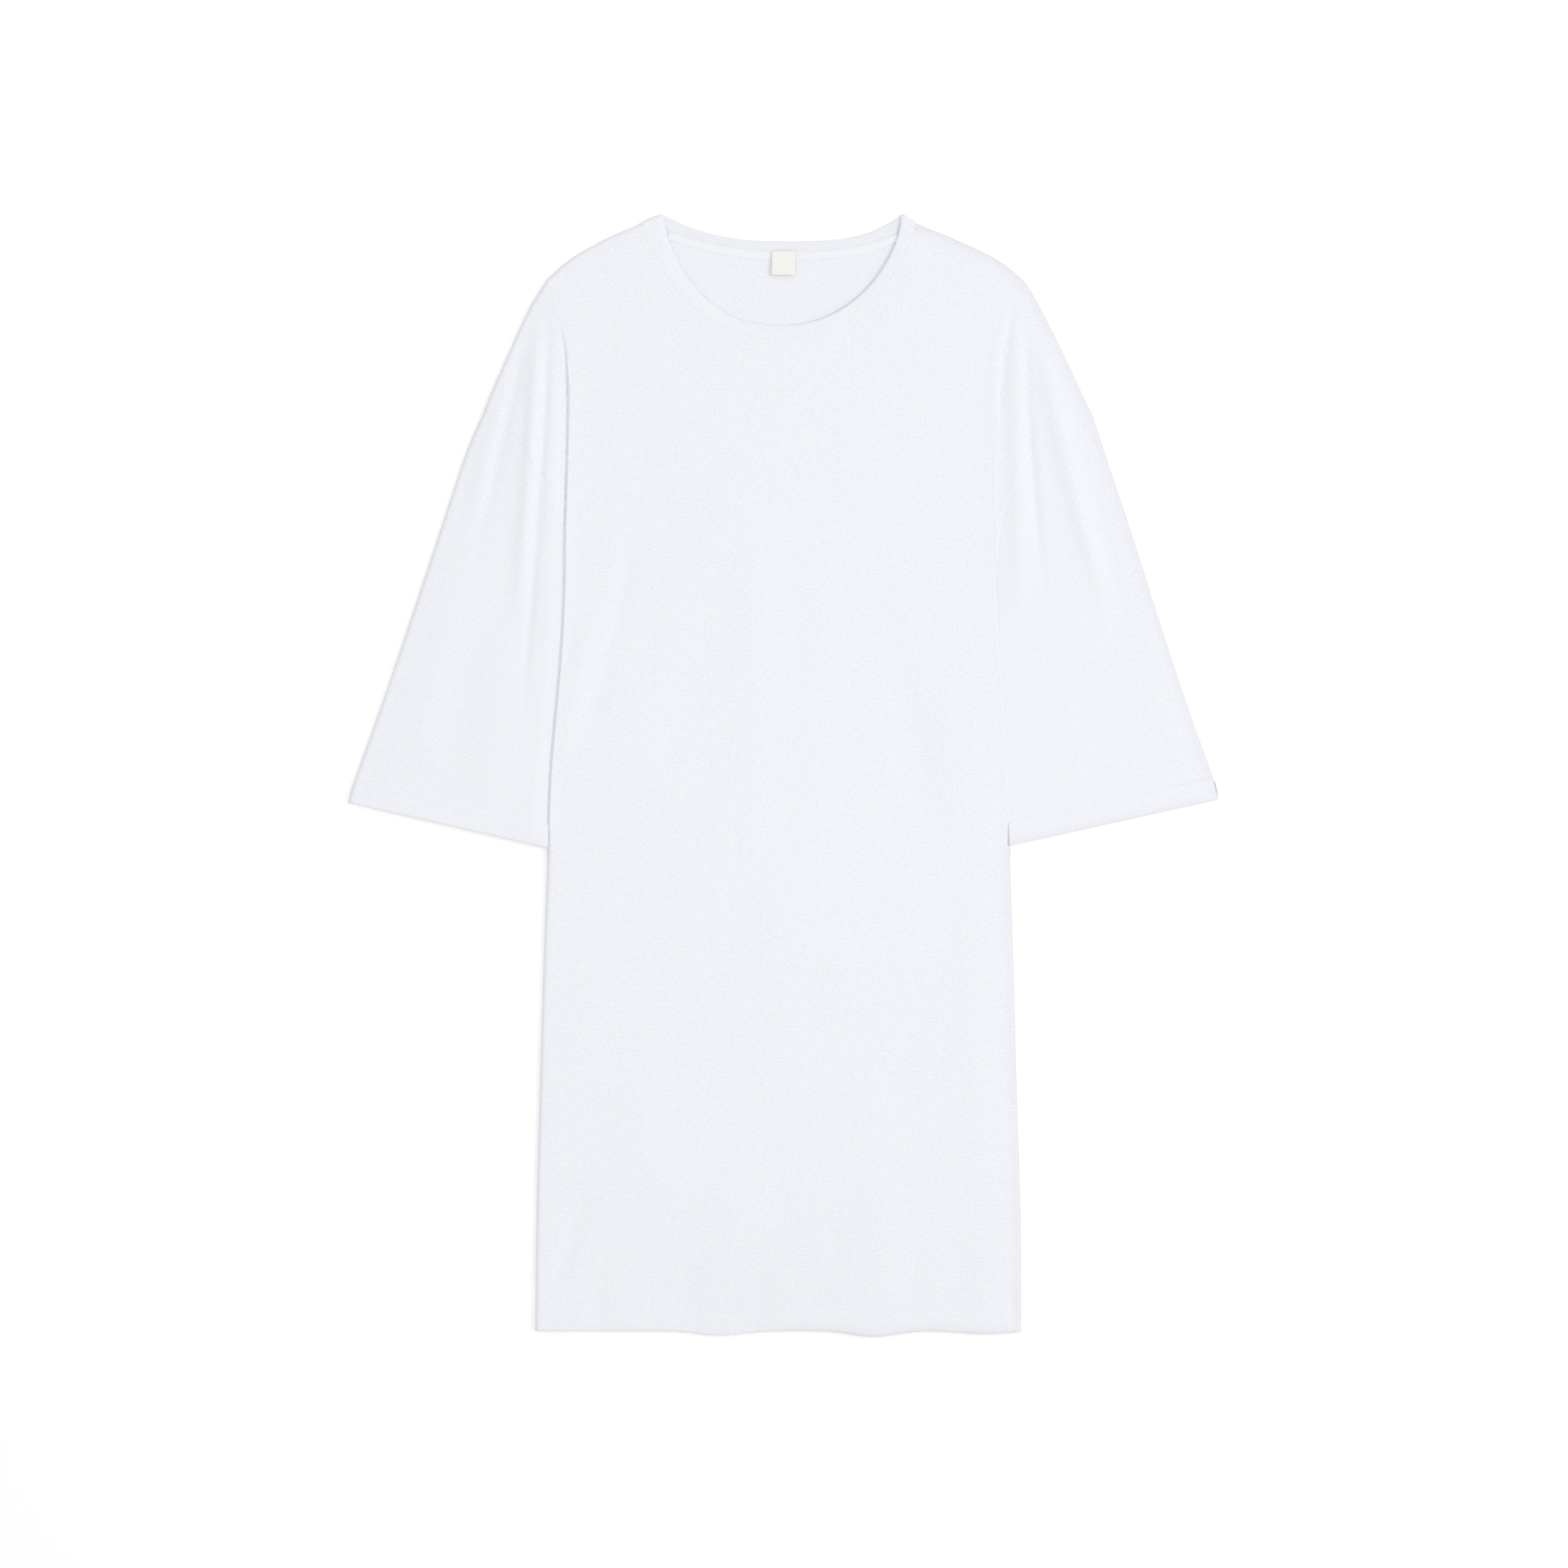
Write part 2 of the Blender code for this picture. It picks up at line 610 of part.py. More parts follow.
def add_label():
    """A woven label folded at its lower end: a bent strip drawn from the side and extruded."""
    rest = WALL + LAYER_GAP + TAPE_WALL + LAYER_GAP
    top = LENGTH / 2 - LABEL_DOWN
    bottom = top - LABEL_LENGTH
    fold = LABEL_WALL + LAYER_GAP / 2
    centre = (bottom + fold, rest + fold)
    outline = [(top, rest), (top, rest + LABEL_WALL)]
    outline += bend(centre, LAYER_GAP / 2, LABEL_TURN)[::-1]
    outline += [(top, rest + LABEL_WALL + LAYER_GAP), (top, rest + 2 * LABEL_WALL + LAYER_GAP)]
    outline += bend(centre, fold, LABEL_TURN)
    curve = bpy.data.curves.new("label_outline", "CURVE")
    curve.dimensions = "2D"
    curve.fill_mode = "BOTH"
    curve.extrude = LABEL_WIDTH / 2
    spline = curve.splines.new("POLY")
    spline.points.add(len(outline) - 1)
    for point, (along, height) in zip(spline.points, outline, strict=True):
        point.co = (along, height, 0, 1)
    spline.use_cyclic_u = True
    drawn = bpy.data.objects.new("label_outline", curve)
    dress.objects.link(drawn)
    drawn.rotation_euler = (math.radians(90), 0, math.radians(90))
    drawn.location = (LABEL_ACROSS, 0, 0)
    bpy.context.view_layer.update()
    depsgraph = bpy.context.evaluated_depsgraph_get()
    mesh = bpy.data.meshes.new_from_object(drawn.evaluated_get(depsgraph))
    mesh.transform(drawn.matrix_world)
    bpy.data.objects.remove(drawn)
    bpy.data.curves.remove(curve)
    bm = bmesh.new()
    bm.from_mesh(mesh)
    bmesh.ops.remove_doubles(bm, verts=bm.verts[:], dist=0.00001)
    bmesh.ops.recalc_face_normals(bm, faces=bm.faces[:])
    bm.to_mesh(mesh)
    bm.free()
    mesh.name = "label"
    add_object("label", mesh, LABEL_COLOUR)


def bend(centre, radius, count):
    """A half circle open towards the neck, from its upper end to its lower."""
    turned = []
    for step in range(count):
        angle = math.pi * (0.5 + step / (count - 1))
        turned.append((centre[0] + radius * math.cos(angle), centre[1] + radius * math.sin(angle)))
    return turned


for old in list(bpy.data.objects):
    bpy.data.objects.remove(old)

dress = bpy.data.collections.new("tshirt_dress")
bpy.context.scene.collection.children.link(dress)

add_body()
add_sleeve("sleeve_left", -1)
add_sleeve("sleeve_right", 1)
add_neckband()
add_tape()
add_label()
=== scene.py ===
# White jersey t-shirt dress laid flat. Places are in mm across and down from the top of the neckband.
import math
from collections import namedtuple

import bpy
import numpy as np
from mathutils import Matrix, Vector


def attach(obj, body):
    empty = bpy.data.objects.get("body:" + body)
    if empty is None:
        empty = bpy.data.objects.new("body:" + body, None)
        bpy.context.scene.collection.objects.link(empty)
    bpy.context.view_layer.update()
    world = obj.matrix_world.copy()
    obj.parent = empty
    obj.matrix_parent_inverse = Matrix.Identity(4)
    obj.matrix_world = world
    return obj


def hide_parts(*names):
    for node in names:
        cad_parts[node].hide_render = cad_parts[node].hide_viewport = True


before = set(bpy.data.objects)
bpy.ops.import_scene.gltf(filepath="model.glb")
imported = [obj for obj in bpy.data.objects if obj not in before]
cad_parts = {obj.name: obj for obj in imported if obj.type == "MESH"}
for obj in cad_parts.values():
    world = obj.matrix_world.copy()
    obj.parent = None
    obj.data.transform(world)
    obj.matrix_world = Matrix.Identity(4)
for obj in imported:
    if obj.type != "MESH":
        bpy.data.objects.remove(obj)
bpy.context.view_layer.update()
mm = 0.001
print("frame loaded")

# the dress, as in the frame
garment = {
    "length": 912.0,
    "wall": 1.1,            # jersey in the frame
    "hemExtra": 0.5,        # second layer of the turned-up hems
    "hemDepth": 16.5,
    "cuffDepth": 17.8,
    "layerGap": 0.3,
    "loft": 1.8,            # air under the front where nothing folds it
    "edgeReach": 30.0,
    "rollWidth": 3.6,
    "edgeHeight": 0.8,      # where the front meets the back at an outer edge
    "shoulderFall": 0.45,   # share of the loft that is lost towards the shoulders
    "shoulderReach": 22.0,
    "sleeveFade": 22.0,     # over the last of the sleeve the crease turns into the side edge
    "lowLoft": 0.2,         # share of a tuck's loft that stays below the sleeve
    "stepReach": 60.0,      # how far from the crease its step is felt
    "lowReach": 16.0,
    "calmFrom": 0.4,        # along the crease
    "calmFade": 0.3,
    "leastHeight": 0.4,     # softens the lowest places of the folds
    "ripple": 0.14,
}

# side edges of the body from the underarm to the hem: down, left, right
sideEdges = [
    (301, 178.1, 172.8), (338, 179.7, 174.6), (364, 181.5, 176.2), (395, 184.2, 178.4),
    (450, 189.1, 182.2), (494, 191.0, 184.0), (525, 191.6, 184.4), (604, 194.5, 187.0),
    (737, 198.5, 190.6), (816, 200.4, 193.2), (912, 201.6, 193.6),
]
# each row below: left across, left down, right across, right down
armhole = [
    (178.1, 301.0, 172.8, 301.0), (180.6, 258.0, 176.5, 258.0), (186.0, 229.5, 185.5, 228.0),
    (195.5, 213.0, 196.0, 208.5), (206.5, 199.0, 206.0, 191.0), (213.0, 188.0, 221.0, 177.5),
    (224.5, 178.0, 236.0, 167.5), (243.5, 161.5, 251.5, 163.5),
]
groove = [
    (178.1, 301.0, 172.8, 301.0), (177.7, 258.0, 170.8, 257.0), (176.1, 202.0, 170.0, 216.0),
    (175.3, 149.0, 171.5, 175.0), (176.9, 116.0, 172.5, 137.0), (180.0, 96.5, 176.2, 101.0),
    (186.0, 79.0, 188.0, 66.0), (191.5, 53.0, 194.5, 53.0),
]
shoulderTip = [
    (243.5, 161.5, 251.5, 163.5), (237.5, 146.0, 243.0, 146.0), (223.0, 113.0, 227.5, 113.0),
    (208.0, 80.0, 211.0, 80.0), (198.0, 63.0, 201.5, 63.0), (191.5, 53.0, 194.5, 53.0),
]
shoulder = [
    (191.5, 53.0, 194.5, 53.0), (173.0, 37.0, 173.5, 37.0), (145.5, 21.0, 140.5, 21.0),
    (115.0, 7.5, 107.5, 7.5),
]
neckTip = [(115.0, 7.5, 107.5, 7.5), (97.65, 0.3, 96.35, 0.3)]
sleeveEdge = [
    (243.5, 161.5, 251.5, 163.5), (258.0, 195.5, 262.0, 195.5), (280.0, 261.5, 284.0, 261.5),
    (302.0, 327.5, 305.0, 327.5), (324.5, 393.5, 326.5, 393.5), (348.0, 459.5, 350.0, 459.5),
    (353.6, 478.0, 353.6, 476.0),
]
cuffCorner = {-1: 515.0, 1: 513.5}
NeckCurve = namedtuple("NeckCurve", "middle halfWidth top depth leftPower rightPower leftEase rightEase")
frontSeam = NeckCurve(-3.75, 111.25, 7.5, 92.5, 2.4, 2.5, 0.9, 0.8)
frontEdge = NeckCurve(-0.65, 97.0, 0.3, 90.2, 2.45, 2.1, 0.68, 0.60)
backSeam = NeckCurve(-3.75, 111.25, 7.5, 23.5, 2.0, 3.0, 1.2, 1.0)
backEdge = NeckCurve(-0.65, 97.0, 0.3, 21.8, 2.5, 3.5, 1.0, 1.0)
hemDown = 907.2
hemFade = 90.0
hemWaves = [(-49.5, 24, 3.6), (75.0, 24, 4.6), (166.0, 28, 2.2)]   # across, half width, drop

# folds of the upper layer: start, middle and end, half width, height
folds = [
    ((-193, 62), (-195, 175), (-214, 425), 3.6, -1.7),
    ((-200, 68), (-204, 175), (-217, 345), 6, 2.4),
    ((-208, 88), (-221, 150), (-252, 285), 4.6, -1.4),
    ((-222, 137), (-236, 176), (-254, 262), 8, 1.6),
    ((-262, 260), (-280, 345), (-300, 440), 20, 1.0),
    ((-226, 330), (-236, 420), (-243, 500), 16, 0.9),
    ((188, 64), (181, 110), (175, 172), 3.2, -1.0),
    ((193, 64), (190, 185), (193, 345), 7, 1.7),
    ((197, 62), (199, 165), (213, 325), 3.4, -1.9),
    ((209, 86), (232, 205), (272, 345), 9, 3.2),
    ((246, 210), (262, 280), (288, 380), 10, -1.0),
    ((290, 300), (305, 370), (318, 440), 14, 1.0),
    ((222, 360), (232, 430), (243, 500), 15, 0.9),
    ((-122, 245), (-140, 354), (-172, 452), 8, -1.1),
    ((-150, 310), (-168, 380), (-180, 450), 9, 1.0),
    ((-160, 790), (-172, 832), (-189, 886), 7, -1.0),
    ((35, 815), (43, 836), (52, 856), 6, -0.7),
    ((183, 872), (187, 890), (191, 908), 5, -0.8),
    ((-22, 215), (-20, 380), (-24, 560), 24, 0.8),
    ((28, 215), (31, 380), (28, 560), 18, 0.6),
    ((128, 310), (155, 486), (166, 890), 26, 1.2),
    ((78, 330), (98, 410), (112, 500), 16, -0.8),
    ((-95, 560), (-110, 720), (-104, 880), 30, 0.8),
    ((-151, 850), (-151, 885), (-150, 915), 9, -0.6),
    ((-76, 840), (-77, 880), (-76, 915), 10, -0.5),
    ((-19, 840), (-20, 880), (-20, 915), 11, -0.4),
    ((102, 830), (104, 875), (105, 915), 11, -0.5),
    ((-49, 770), (-49, 850), (-49, 920), 24, 0.9),
    ((75, 760), (76, 850), (75, 920), 24, 1.0),
    ((166, 810), (167, 865), (167, 920), 20, 0.7),
]


# how the body lies over the shoulder's fold and the sleeve on each side
tucks = {
    # the last tones on each side are painted: a highlight beside the crease, shade towards the outer edge and
    # shade in the crease
    -1: {"start": 0.08, "fade": 0.33, "crest": 0.35, "crestWidth": 6.0, "low": 1.3, "up": 0.7, "reach": 13.0,
         "slot": 2.2, "slotWidth": 0.9, "rollWidth": 1.7, "strip": 6.0, "highlightTone": 0.01, "paintedEdgeShade": 0.016,
         "loft": 1.1, "calm": 0.0, "edgeShadeReach": 3.0, "creaseShade": 0.0},
    1: {"start": 0.02, "fade": 0.3, "crest": 0.45, "crestWidth": 5.0, "low": 0.5, "up": 0.3, "reach": 2.2,
        "slot": 0.35, "slotWidth": 0.6, "rollWidth": 1.0, "strip": 2.0, "highlightTone": 0.005, "paintedEdgeShade": 0.11,
        "loft": 0.7, "calm": 0.55, "edgeShadeReach": 3.4, "creaseShade": 0.035},
}


def ease(value):
    value = np.clip(value, 0.0, 1.0)
    return value * value * (3 - 2 * value)


def sidePoints(table, side):
    column = 0 if side < 0 else 2
    return [(side * row[column], row[column + 1]) for row in table]


def smoothLine(points, shares):   # a smooth line through points, at shares of its length
    points = np.array(points, float)
    p = np.vstack([2 * points[0] - points[1], points, 2 * points[-1] - points[-2]])
    t = np.linspace(0, 1, 12, endpoint=False)[:, None]
    fine = []
    for a, b, c, d in zip(p[:-3], p[1:-2], p[2:-1], p[3:]):
        turn = (2 * a - 5 * b + 4 * c - d) * t**2 + (3 * b - a - 3 * c + d) * t**3
        fine.append(b + 0.5 * ((c - a) * t + turn))
    fine = np.vstack([*fine, points[-1:]])
    run = lengths(fine)
    return placesAt(fine, run, np.asarray(shares) * run[-1])


def placesAt(line, run, at):
    return np.column_stack([np.interp(at, run, line[:, i]) for i in range(line.shape[1])])


def lengths(line):   # run along a line at each of its points
    steps = np.linalg.norm(np.diff(np.asarray(line), axis=0), axis=1)
    return np.concatenate([[0], np.cumsum(steps)])


def sag(curve, share, outwards=0.0):
    power, rise = (curve.leftPower, curve.leftEase) if share < 0 else (curve.rightPower, curve.rightEase)
    down = curve.top + (curve.depth + outwards) * (1 - abs(share) ** power) ** rise
    return (curve.middle + share * (curve.halfWidth + outwards), down)


def nearest(points, line):   # distance to a line of straight pieces, and how far along it
    line = np.array(line, float)
    best = np.full(len(points), np.inf)
    along = np.zeros(len(points))
    run = lengths(line)
    for i, (a, b) in enumerate(zip(line[:-1], line[1:])):
        size = max(run[i + 1] - run[i], 1e-9)
        share = np.clip(((points - a) @ (b - a)) / size**2, 0, 1)
        away = np.linalg.norm(points - (a + share[:, None] * (b - a)), axis=1)
        closer = away < best
        best = np.where(closer, away, best)
        along = np.where(closer, (run[i] + share * size) / run[-1], along)
    return best, along


def nearer(points, lines):   # distance to the nearer of the left and the right line
    return np.minimum(*(nearest(points, lines[side])[0] for side in (-1, 1)))


def neckSteps(count):   # shares from -1 to 1 across the neck that crowd towards both ends
    return [math.sin(math.pi / 2 * share) for share in np.linspace(-1, 1, count)]


def bodySide(down, side):
    return np.interp(down, [row[0] for row in sideEdges], [row[1 if side < 0 else 2] for row in sideEdges])


grooveLines, bodyLines, outerLines = {}, {}, {}
for side in (-1, 1):
    grooveLines[side] = smoothLine(sidePoints(groove, side)[::-1], np.linspace(0, 1, 40))
    column = 1 if side < 0 else 2
    bodyLines[side] = smoothLine([(side * row[column], row[0]) for row in sideEdges], np.linspace(0, 1, 40))
    outline = [sidePoints(neckTip, side)[::-1]]
    outline += [smoothLine(sidePoints(shoulder, side)[::-1], np.linspace(0, 1, 14))[1:]]
    outline += [smoothLine(sidePoints(shoulderTip, side)[::-1], np.linspace(0, 1, 14))[1:]]
    outline += [smoothLine(sidePoints(sleeveEdge, side), np.linspace(0, 1, 20))[1:]]
    outerLines[side] = np.vstack(outline)
neckShares = neckSteps(81)
frontNeckLine = np.array([sag(frontSeam, share) for share in neckShares])
backNeckLine = np.array([sag(backSeam, share) for share in neckShares])
armholeLines = {side: smoothLine(sidePoints(armhole, side), np.linspace(0, 1, 40)) for side in (-1, 1)}


def rolled(distance, width):   # profile of a rolled edge, 0 at the edge and 1 from its width in
    share = np.clip(distance / width, 0, 1)
    return np.sqrt(np.maximum(1 - (1 - share) ** 2, 0))


def hemWave(across):
    return sum(drop * np.exp(-(((across - at) / width) ** 2)) for at, width, drop in hemWaves)


def foldHeight(points, fold):
    start, middle, end, halfWidth, height = fold
    start, middle, end = (np.array(p, float) for p in (start, middle, end))
    t = np.linspace(0, 1, 13)[:, None]
    control = 2 * middle - (start + end) / 2
    line = (1 - t) ** 2 * start + 2 * t * (1 - t) * control + t**2 * end
    away, along = nearest(points, line)
    return height * ease(along / 0.25) * ease((1 - along) / 0.3) * np.exp(-((away / halfWidth) ** 2))


def ripple(points, seed, size, count=16):   # slight unevenness of cloth smoothed by hand
    rng = np.random.default_rng(seed)
    total = np.zeros(len(points))
    for _ in range(count):
        waveAcross = rng.uniform(0.02, 0.11) * rng.choice([-1, 1])
        waveDown = rng.uniform(0.004, 0.05)
        total += np.sin(points[:, 0] * waveAcross + points[:, 1] * waveDown + rng.uniform(0, 2 * math.pi))
    return size * total / math.sqrt(count)


def creaseLine(down, side):   # how far across the crease, or below it the body's side edge, lies
    line = grooveLines[side]
    across = np.interp(down, line[:, 1], side * line[:, 0])
    return np.where(down < sideEdges[0][0], across, bodySide(down, side))


def upperTop(points, hem, part="front"):   # height of the upper layer's face, in mm
    outer = nearer(points, outerLines)
    height = garment["loft"] + ripple(points, 5, garment["ripple"])
    for fold in folds:
        height = height + foldHeight(points, fold)
    inBody = np.ones(len(points))
    for side in (-1, 1):
        tuck = tucks[side]
        crease, along = nearest(points, grooveLines[side])
        edge = nearest(points, bodyLines[side])[0]
        away = np.minimum(crease, edge)
        strength = np.where(crease < edge, ease((along - tuck["start"]) / tuck["fade"]), 1.0)
        fade = garment["sleeveFade"]
        beside = 1 - ease((points[:, 1] - cuffCorner[side] + fade) / fade)   # 0 below the sleeve
        strength = strength * beside
        loftShare = garment["lowLoft"] + (1 - garment["lowLoft"]) * beside
        height += tuck["loft"] * loftShare * np.exp(-away / garment["edgeReach"])
        outside = side * points[:, 0] > creaseLine(points[:, 1], side)
        if part != "front":
            outside = np.sign(points[:, 0]) == side
        crest = tuck["crest"] * (1 - tuck["calm"] * ease((along - garment["calmFrom"]) / garment["calmFade"]))
        if side < 0:
            rise = ease(away / tuck["reach"])
            flap = tuck["up"] * rise - tuck["low"] * (1 - rise)
            lowest = -tuck["low"]
        else:
            fall = np.exp(-away / tuck["reach"])
            dip = tuck["low"] * (1 - fall) * np.exp(-away / garment["lowReach"])
            flap = crest * fall - dip + tuck["up"] * (1 - fall)
            lowest = crest
        height -= strength * tuck["slot"] * np.exp(-((away / tuck["slotWidth"]) ** 2))
        body = crest * np.exp(-((away / tuck["crestWidth"]) ** 2))
        body = lowest + (body - lowest) * rolled(away, tuck["rollWidth"])
        step = np.where(outside, flap, body)
        height += strength * step * np.exp(-((away / garment["stepReach"]) ** 2))
        if part == "front":   # below the sleeve the side edge rolls down to the back
            inBody *= 1 - (1 - beside) * (1 - rolled(edge, garment["rollWidth"]))
    height = height * (1 - garment["shoulderFall"] * np.exp(-((outer / garment["shoulderReach"]) ** 2)))
    height = (height + np.hypot(height, garment["leastHeight"])) / 2
    layers = 2 * garment["wall"] + garment["layerGap"] + 2 * garment["hemExtra"] * hem
    full = layers + height
    full = garment["edgeHeight"] + (full - garment["edgeHeight"]) * inBody
    return garment["edgeHeight"] + (full - garment["edgeHeight"]) * rolled(outer, garment["rollWidth"])


# painted shade and highlight on the cloth, beside what the lights give, and its lighter tone where it lies
# double
shading = {
    "double": 0.006,        # where the cloth lies double
    # painted shade towards the folded edge of the hem
    "hemRimShade": 0.02,
    "hemRimShadeReach": 5.0,
    "low": 0.017,           # the lower middle of the front lies in a little shade
    "lowAcross": 115.0,
    "lowDown": 888.0,
    "lowReach": 80.0,
    "stripWidth": 2.4,
    "stripFrom": 0.1,       # along the crease
    "creaseWidth": 0.8,
    "creaseFrom": 0.25,
    "cornerAt": 1.02,
}


def toneAndPaintedShade(points, hem, outer):   # lighter where the cloth lies double; painted shade towards a folded edge, in the crease and over the lower middle, and a painted highlight beside the crease
    tone = shading["double"] * hem
    for side in (-1, 1):
        tuck = tucks[side]
        crease, along = nearest(points, grooveLines[side])
        outside = side * points[:, 0] > creaseLine(points[:, 1], side)
        toCorner = shading["cornerAt"] - along
        # a painted highlight on the strip beside the crease, on the fold's side
        strip = np.exp(-(((crease - tuck["strip"]) / shading["stripWidth"]) ** 2))
        strip = strip * ease((along - shading["stripFrom"]) / 0.2) * ease(toCorner / 0.2)
        tone = tone + tuck["highlightTone"] * np.where(outside, strip, 0)
        # painted shade towards the folded outer edge of each side
        ownSide = np.sign(points[:, 0]) == side
        tone = tone - tuck["paintedEdgeShade"] * np.where(ownSide, np.exp(-outer / tuck["edgeShadeReach"]), 0)
        # painted shade in the crease line
        dark = np.exp(-((crease / shading["creaseWidth"]) ** 2))
        dark = dark * ease((along - shading["creaseFrom"]) / 0.2) * ease(toCorner / 0.1)
        tone = tone - tuck["creaseShade"] * dark
    # painted shade over the lower middle of the front
    across = points[:, 0] / shading["lowAcross"]
    down = (points[:, 1] - shading["lowDown"]) / shading["lowReach"]
    return tone - shading["low"] * np.exp(-(across**2) - down**2)


# the tone kept here is painted shade and highlight, with the lighter tone where the cloth lies double
def keepToneAndPaintedShade(piece, tone):
    layer = piece.data.attributes.new("layers", "FLOAT", "POINT")
    layer.data.foreach_set("value", np.asarray(tone, float))


def toWorld(points, heights):   # mm across, down and up, to metres
    points = np.asarray(points, float)
    return np.column_stack([points[:, 0], garment["length"] / 2 - points[:, 1], heights]) * mm


def spread(count, crowd=0.85):   # shares from 0 to 1 that crowd towards both ends
    t = np.linspace(0, 1, count + 1)
    return (1 - crowd) * t + crowd * (0.5 - 0.5 * np.cos(math.pi * t))


# rows and columns of a body panel
def fillRow(keys, layout):
    left, leftGroove, rightGroove, right = (np.array(key, float) for key in keys)
    inner = layout["innerWidth"] / (rightGroove[0] - leftGroove[0])
    steps = np.linspace(0, 1, layout["innerColumns"] + 1) ** 1.5
    middle = np.linspace(inner, 1 - inner, 2 * layout["shoulderColumns"] + layout["neckColumns"] + 1)
    across = np.concatenate([inner * steps, middle[1:-1], 1 - inner * steps[::-1]])
    sideSteps = spread(layout["sideColumns"])
    points = [left + step * (leftGroove - left) for step in sideSteps[:-1]]
    points += [leftGroove + share * (rightGroove - leftGroove) for share in across]
    points += [right + step * (rightGroove - right) for step in sideSteps[-2::-1]]
    return np.array(points)


def topRow(neck, layout, gap):
    inner = layout["innerColumns"] + layout["shoulderColumns"]
    halves = []
    for side in (-1, 1):
        tip = smoothLine(sidePoints(shoulderTip, side), spread(layout["sideColumns"]))
        line = smoothLine(sidePoints(shoulder, side), np.linspace(0, 1, inner + 1) ** 1.3)
        line[-1] = sag(neck, side, gap)
        halves.append(np.vstack([tip[:-1], line]))
    curve = [sag(neck, share, gap) for share in neckSteps(layout["neckColumns"] + 1)[1:-1]]
    return np.vstack([halves[0], curve, halves[1][::-1]])


def panelRows(neck, layout, gap, inset=0.0):
    depth = garment["hemDepth"]
    marks = layout["hemRows"]
    levels = [hemDown - mark for mark in marks if mark <= depth + 6]
    levels += list(np.linspace(hemDown - depth - 11, sideEdges[0][0] + 6, layout["lowerRows"]))
    rows = []
    for level in levels:
        follow = ease(1 - (hemDown - level) / hemFade)
        left, right = -bodySide(level, -1) + inset, bodySide(level, 1) - inset
        roll = layout["sideRoll"]
        row = fillRow([(left, level), (left + roll, level), (right - roll, level), (right, level)], layout)
        row[:, 1] += follow * hemWave(row[:, 0])
        rows.append(row)
    shares = 1 - (1 - np.linspace(0, 1, layout["upperRows"] + 1)) ** 1.5
    ends = [smoothLine(sidePoints(armhole, side), shares) for side in (-1, 1)]
    grooves = [smoothLine(sidePoints(groove, side), shares) for side in (-1, 1)]
    top = topRow(neck, layout, gap)
    plainTop = fillRow([ends[0][-1], grooves[0][-1], grooves[1][-1], ends[1][-1]], layout)
    for share, *keys in zip(shares, ends[0], grooves[0], grooves[1], ends[1]):
        keys = [key.copy() for key in keys]
        shift = (1 - share) ** 2 * layout["sideRoll"]
        keys[0][0] += inset
        keys[3][0] -= inset
        keys[1][0] += shift
        keys[2][0] -= shift
        rows.append(fillRow(keys, layout) + share**2 * (top - plainTop))
    return np.array(rows)


def clothGrid(name, places, flat, coords="cloth"):   # a grid primitive laid out on the given places
    rows, columns = places.shape[:2]
    bpy.ops.object.select_all(action="DESELECT")
    bpy.ops.mesh.primitive_grid_add(x_subdivisions=columns - 1, y_subdivisions=rows - 1, size=1)
    piece = bpy.context.object
    piece.name = piece.data.name = name
    piece.data.vertices.foreach_set("co", places.reshape(-1))
    layCoords(piece, flat.reshape(-1, 2), coords)
    piece.data.update()
    return piece


def layCoords(piece, flat, coords="cloth", around=None):   # cloth coordinates in metres
    mesh = piece.data
    layer = mesh.uv_layers.active or mesh.uv_layers.new()
    layer.name = coords
    corners = np.empty(len(mesh.loops), int)
    mesh.loops.foreach_get("vertex_index", corners)
    values = np.array(flat, float)[corners]
    if around:   # a ring: the last faces run on past its start
        starts = np.empty(len(mesh.polygons), int)
        totals = np.empty(len(mesh.polygons), int)
        mesh.polygons.foreach_get("loop_start", starts)
        mesh.polygons.foreach_get("loop_total", totals)
        face = np.repeat(np.arange(len(starts)), totals)
        for i, size in enumerate(around):
            highest = np.maximum.reduceat(values[:, i], starts)[face]
            values[:, i] += np.where(highest - values[:, i] > size / 2, size, 0)
    layer.data.foreach_set("uv", values.reshape(-1))


def weighHem(piece, weights):   # how much of the turned-up layer each point has
    group = piece.vertex_groups.new(name="hem")
    weights = np.round(weights.reshape(-1), 1)
    for level in np.unique(weights):
        group.add([int(i) for i in np.nonzero(weights == level)[0]], float(level), "REPLACE")


def thicken(piece, wall, thin=None):   # thin: share of the wall where the hem is not turned up
    solid = piece.modifiers.new("wall", "SOLIDIFY")
    solid.thickness = wall * mm
    solid.offset = -1
    if thin is not None:
        solid.vertex_group = "hem"
        solid.thickness_vertex_group = thin
    finishShape(piece)


def pressFlat(piece, upTo=0.0):   # what lies as low as this is pressed onto the table
    for vertex in piece.data.vertices:
        if vertex.co.z < upTo * mm:
            vertex.co.z = 0


def finishShape(piece, angle=50):
    bpy.ops.object.select_all(action="DESELECT")
    piece.select_set(True)
    bpy.context.view_layer.objects.active = piece
    for modifier in list(piece.modifiers):
        bpy.ops.object.modifier_apply(modifier=modifier.name)
    bpy.ops.object.shade_smooth_by_angle(angle=math.radians(angle))


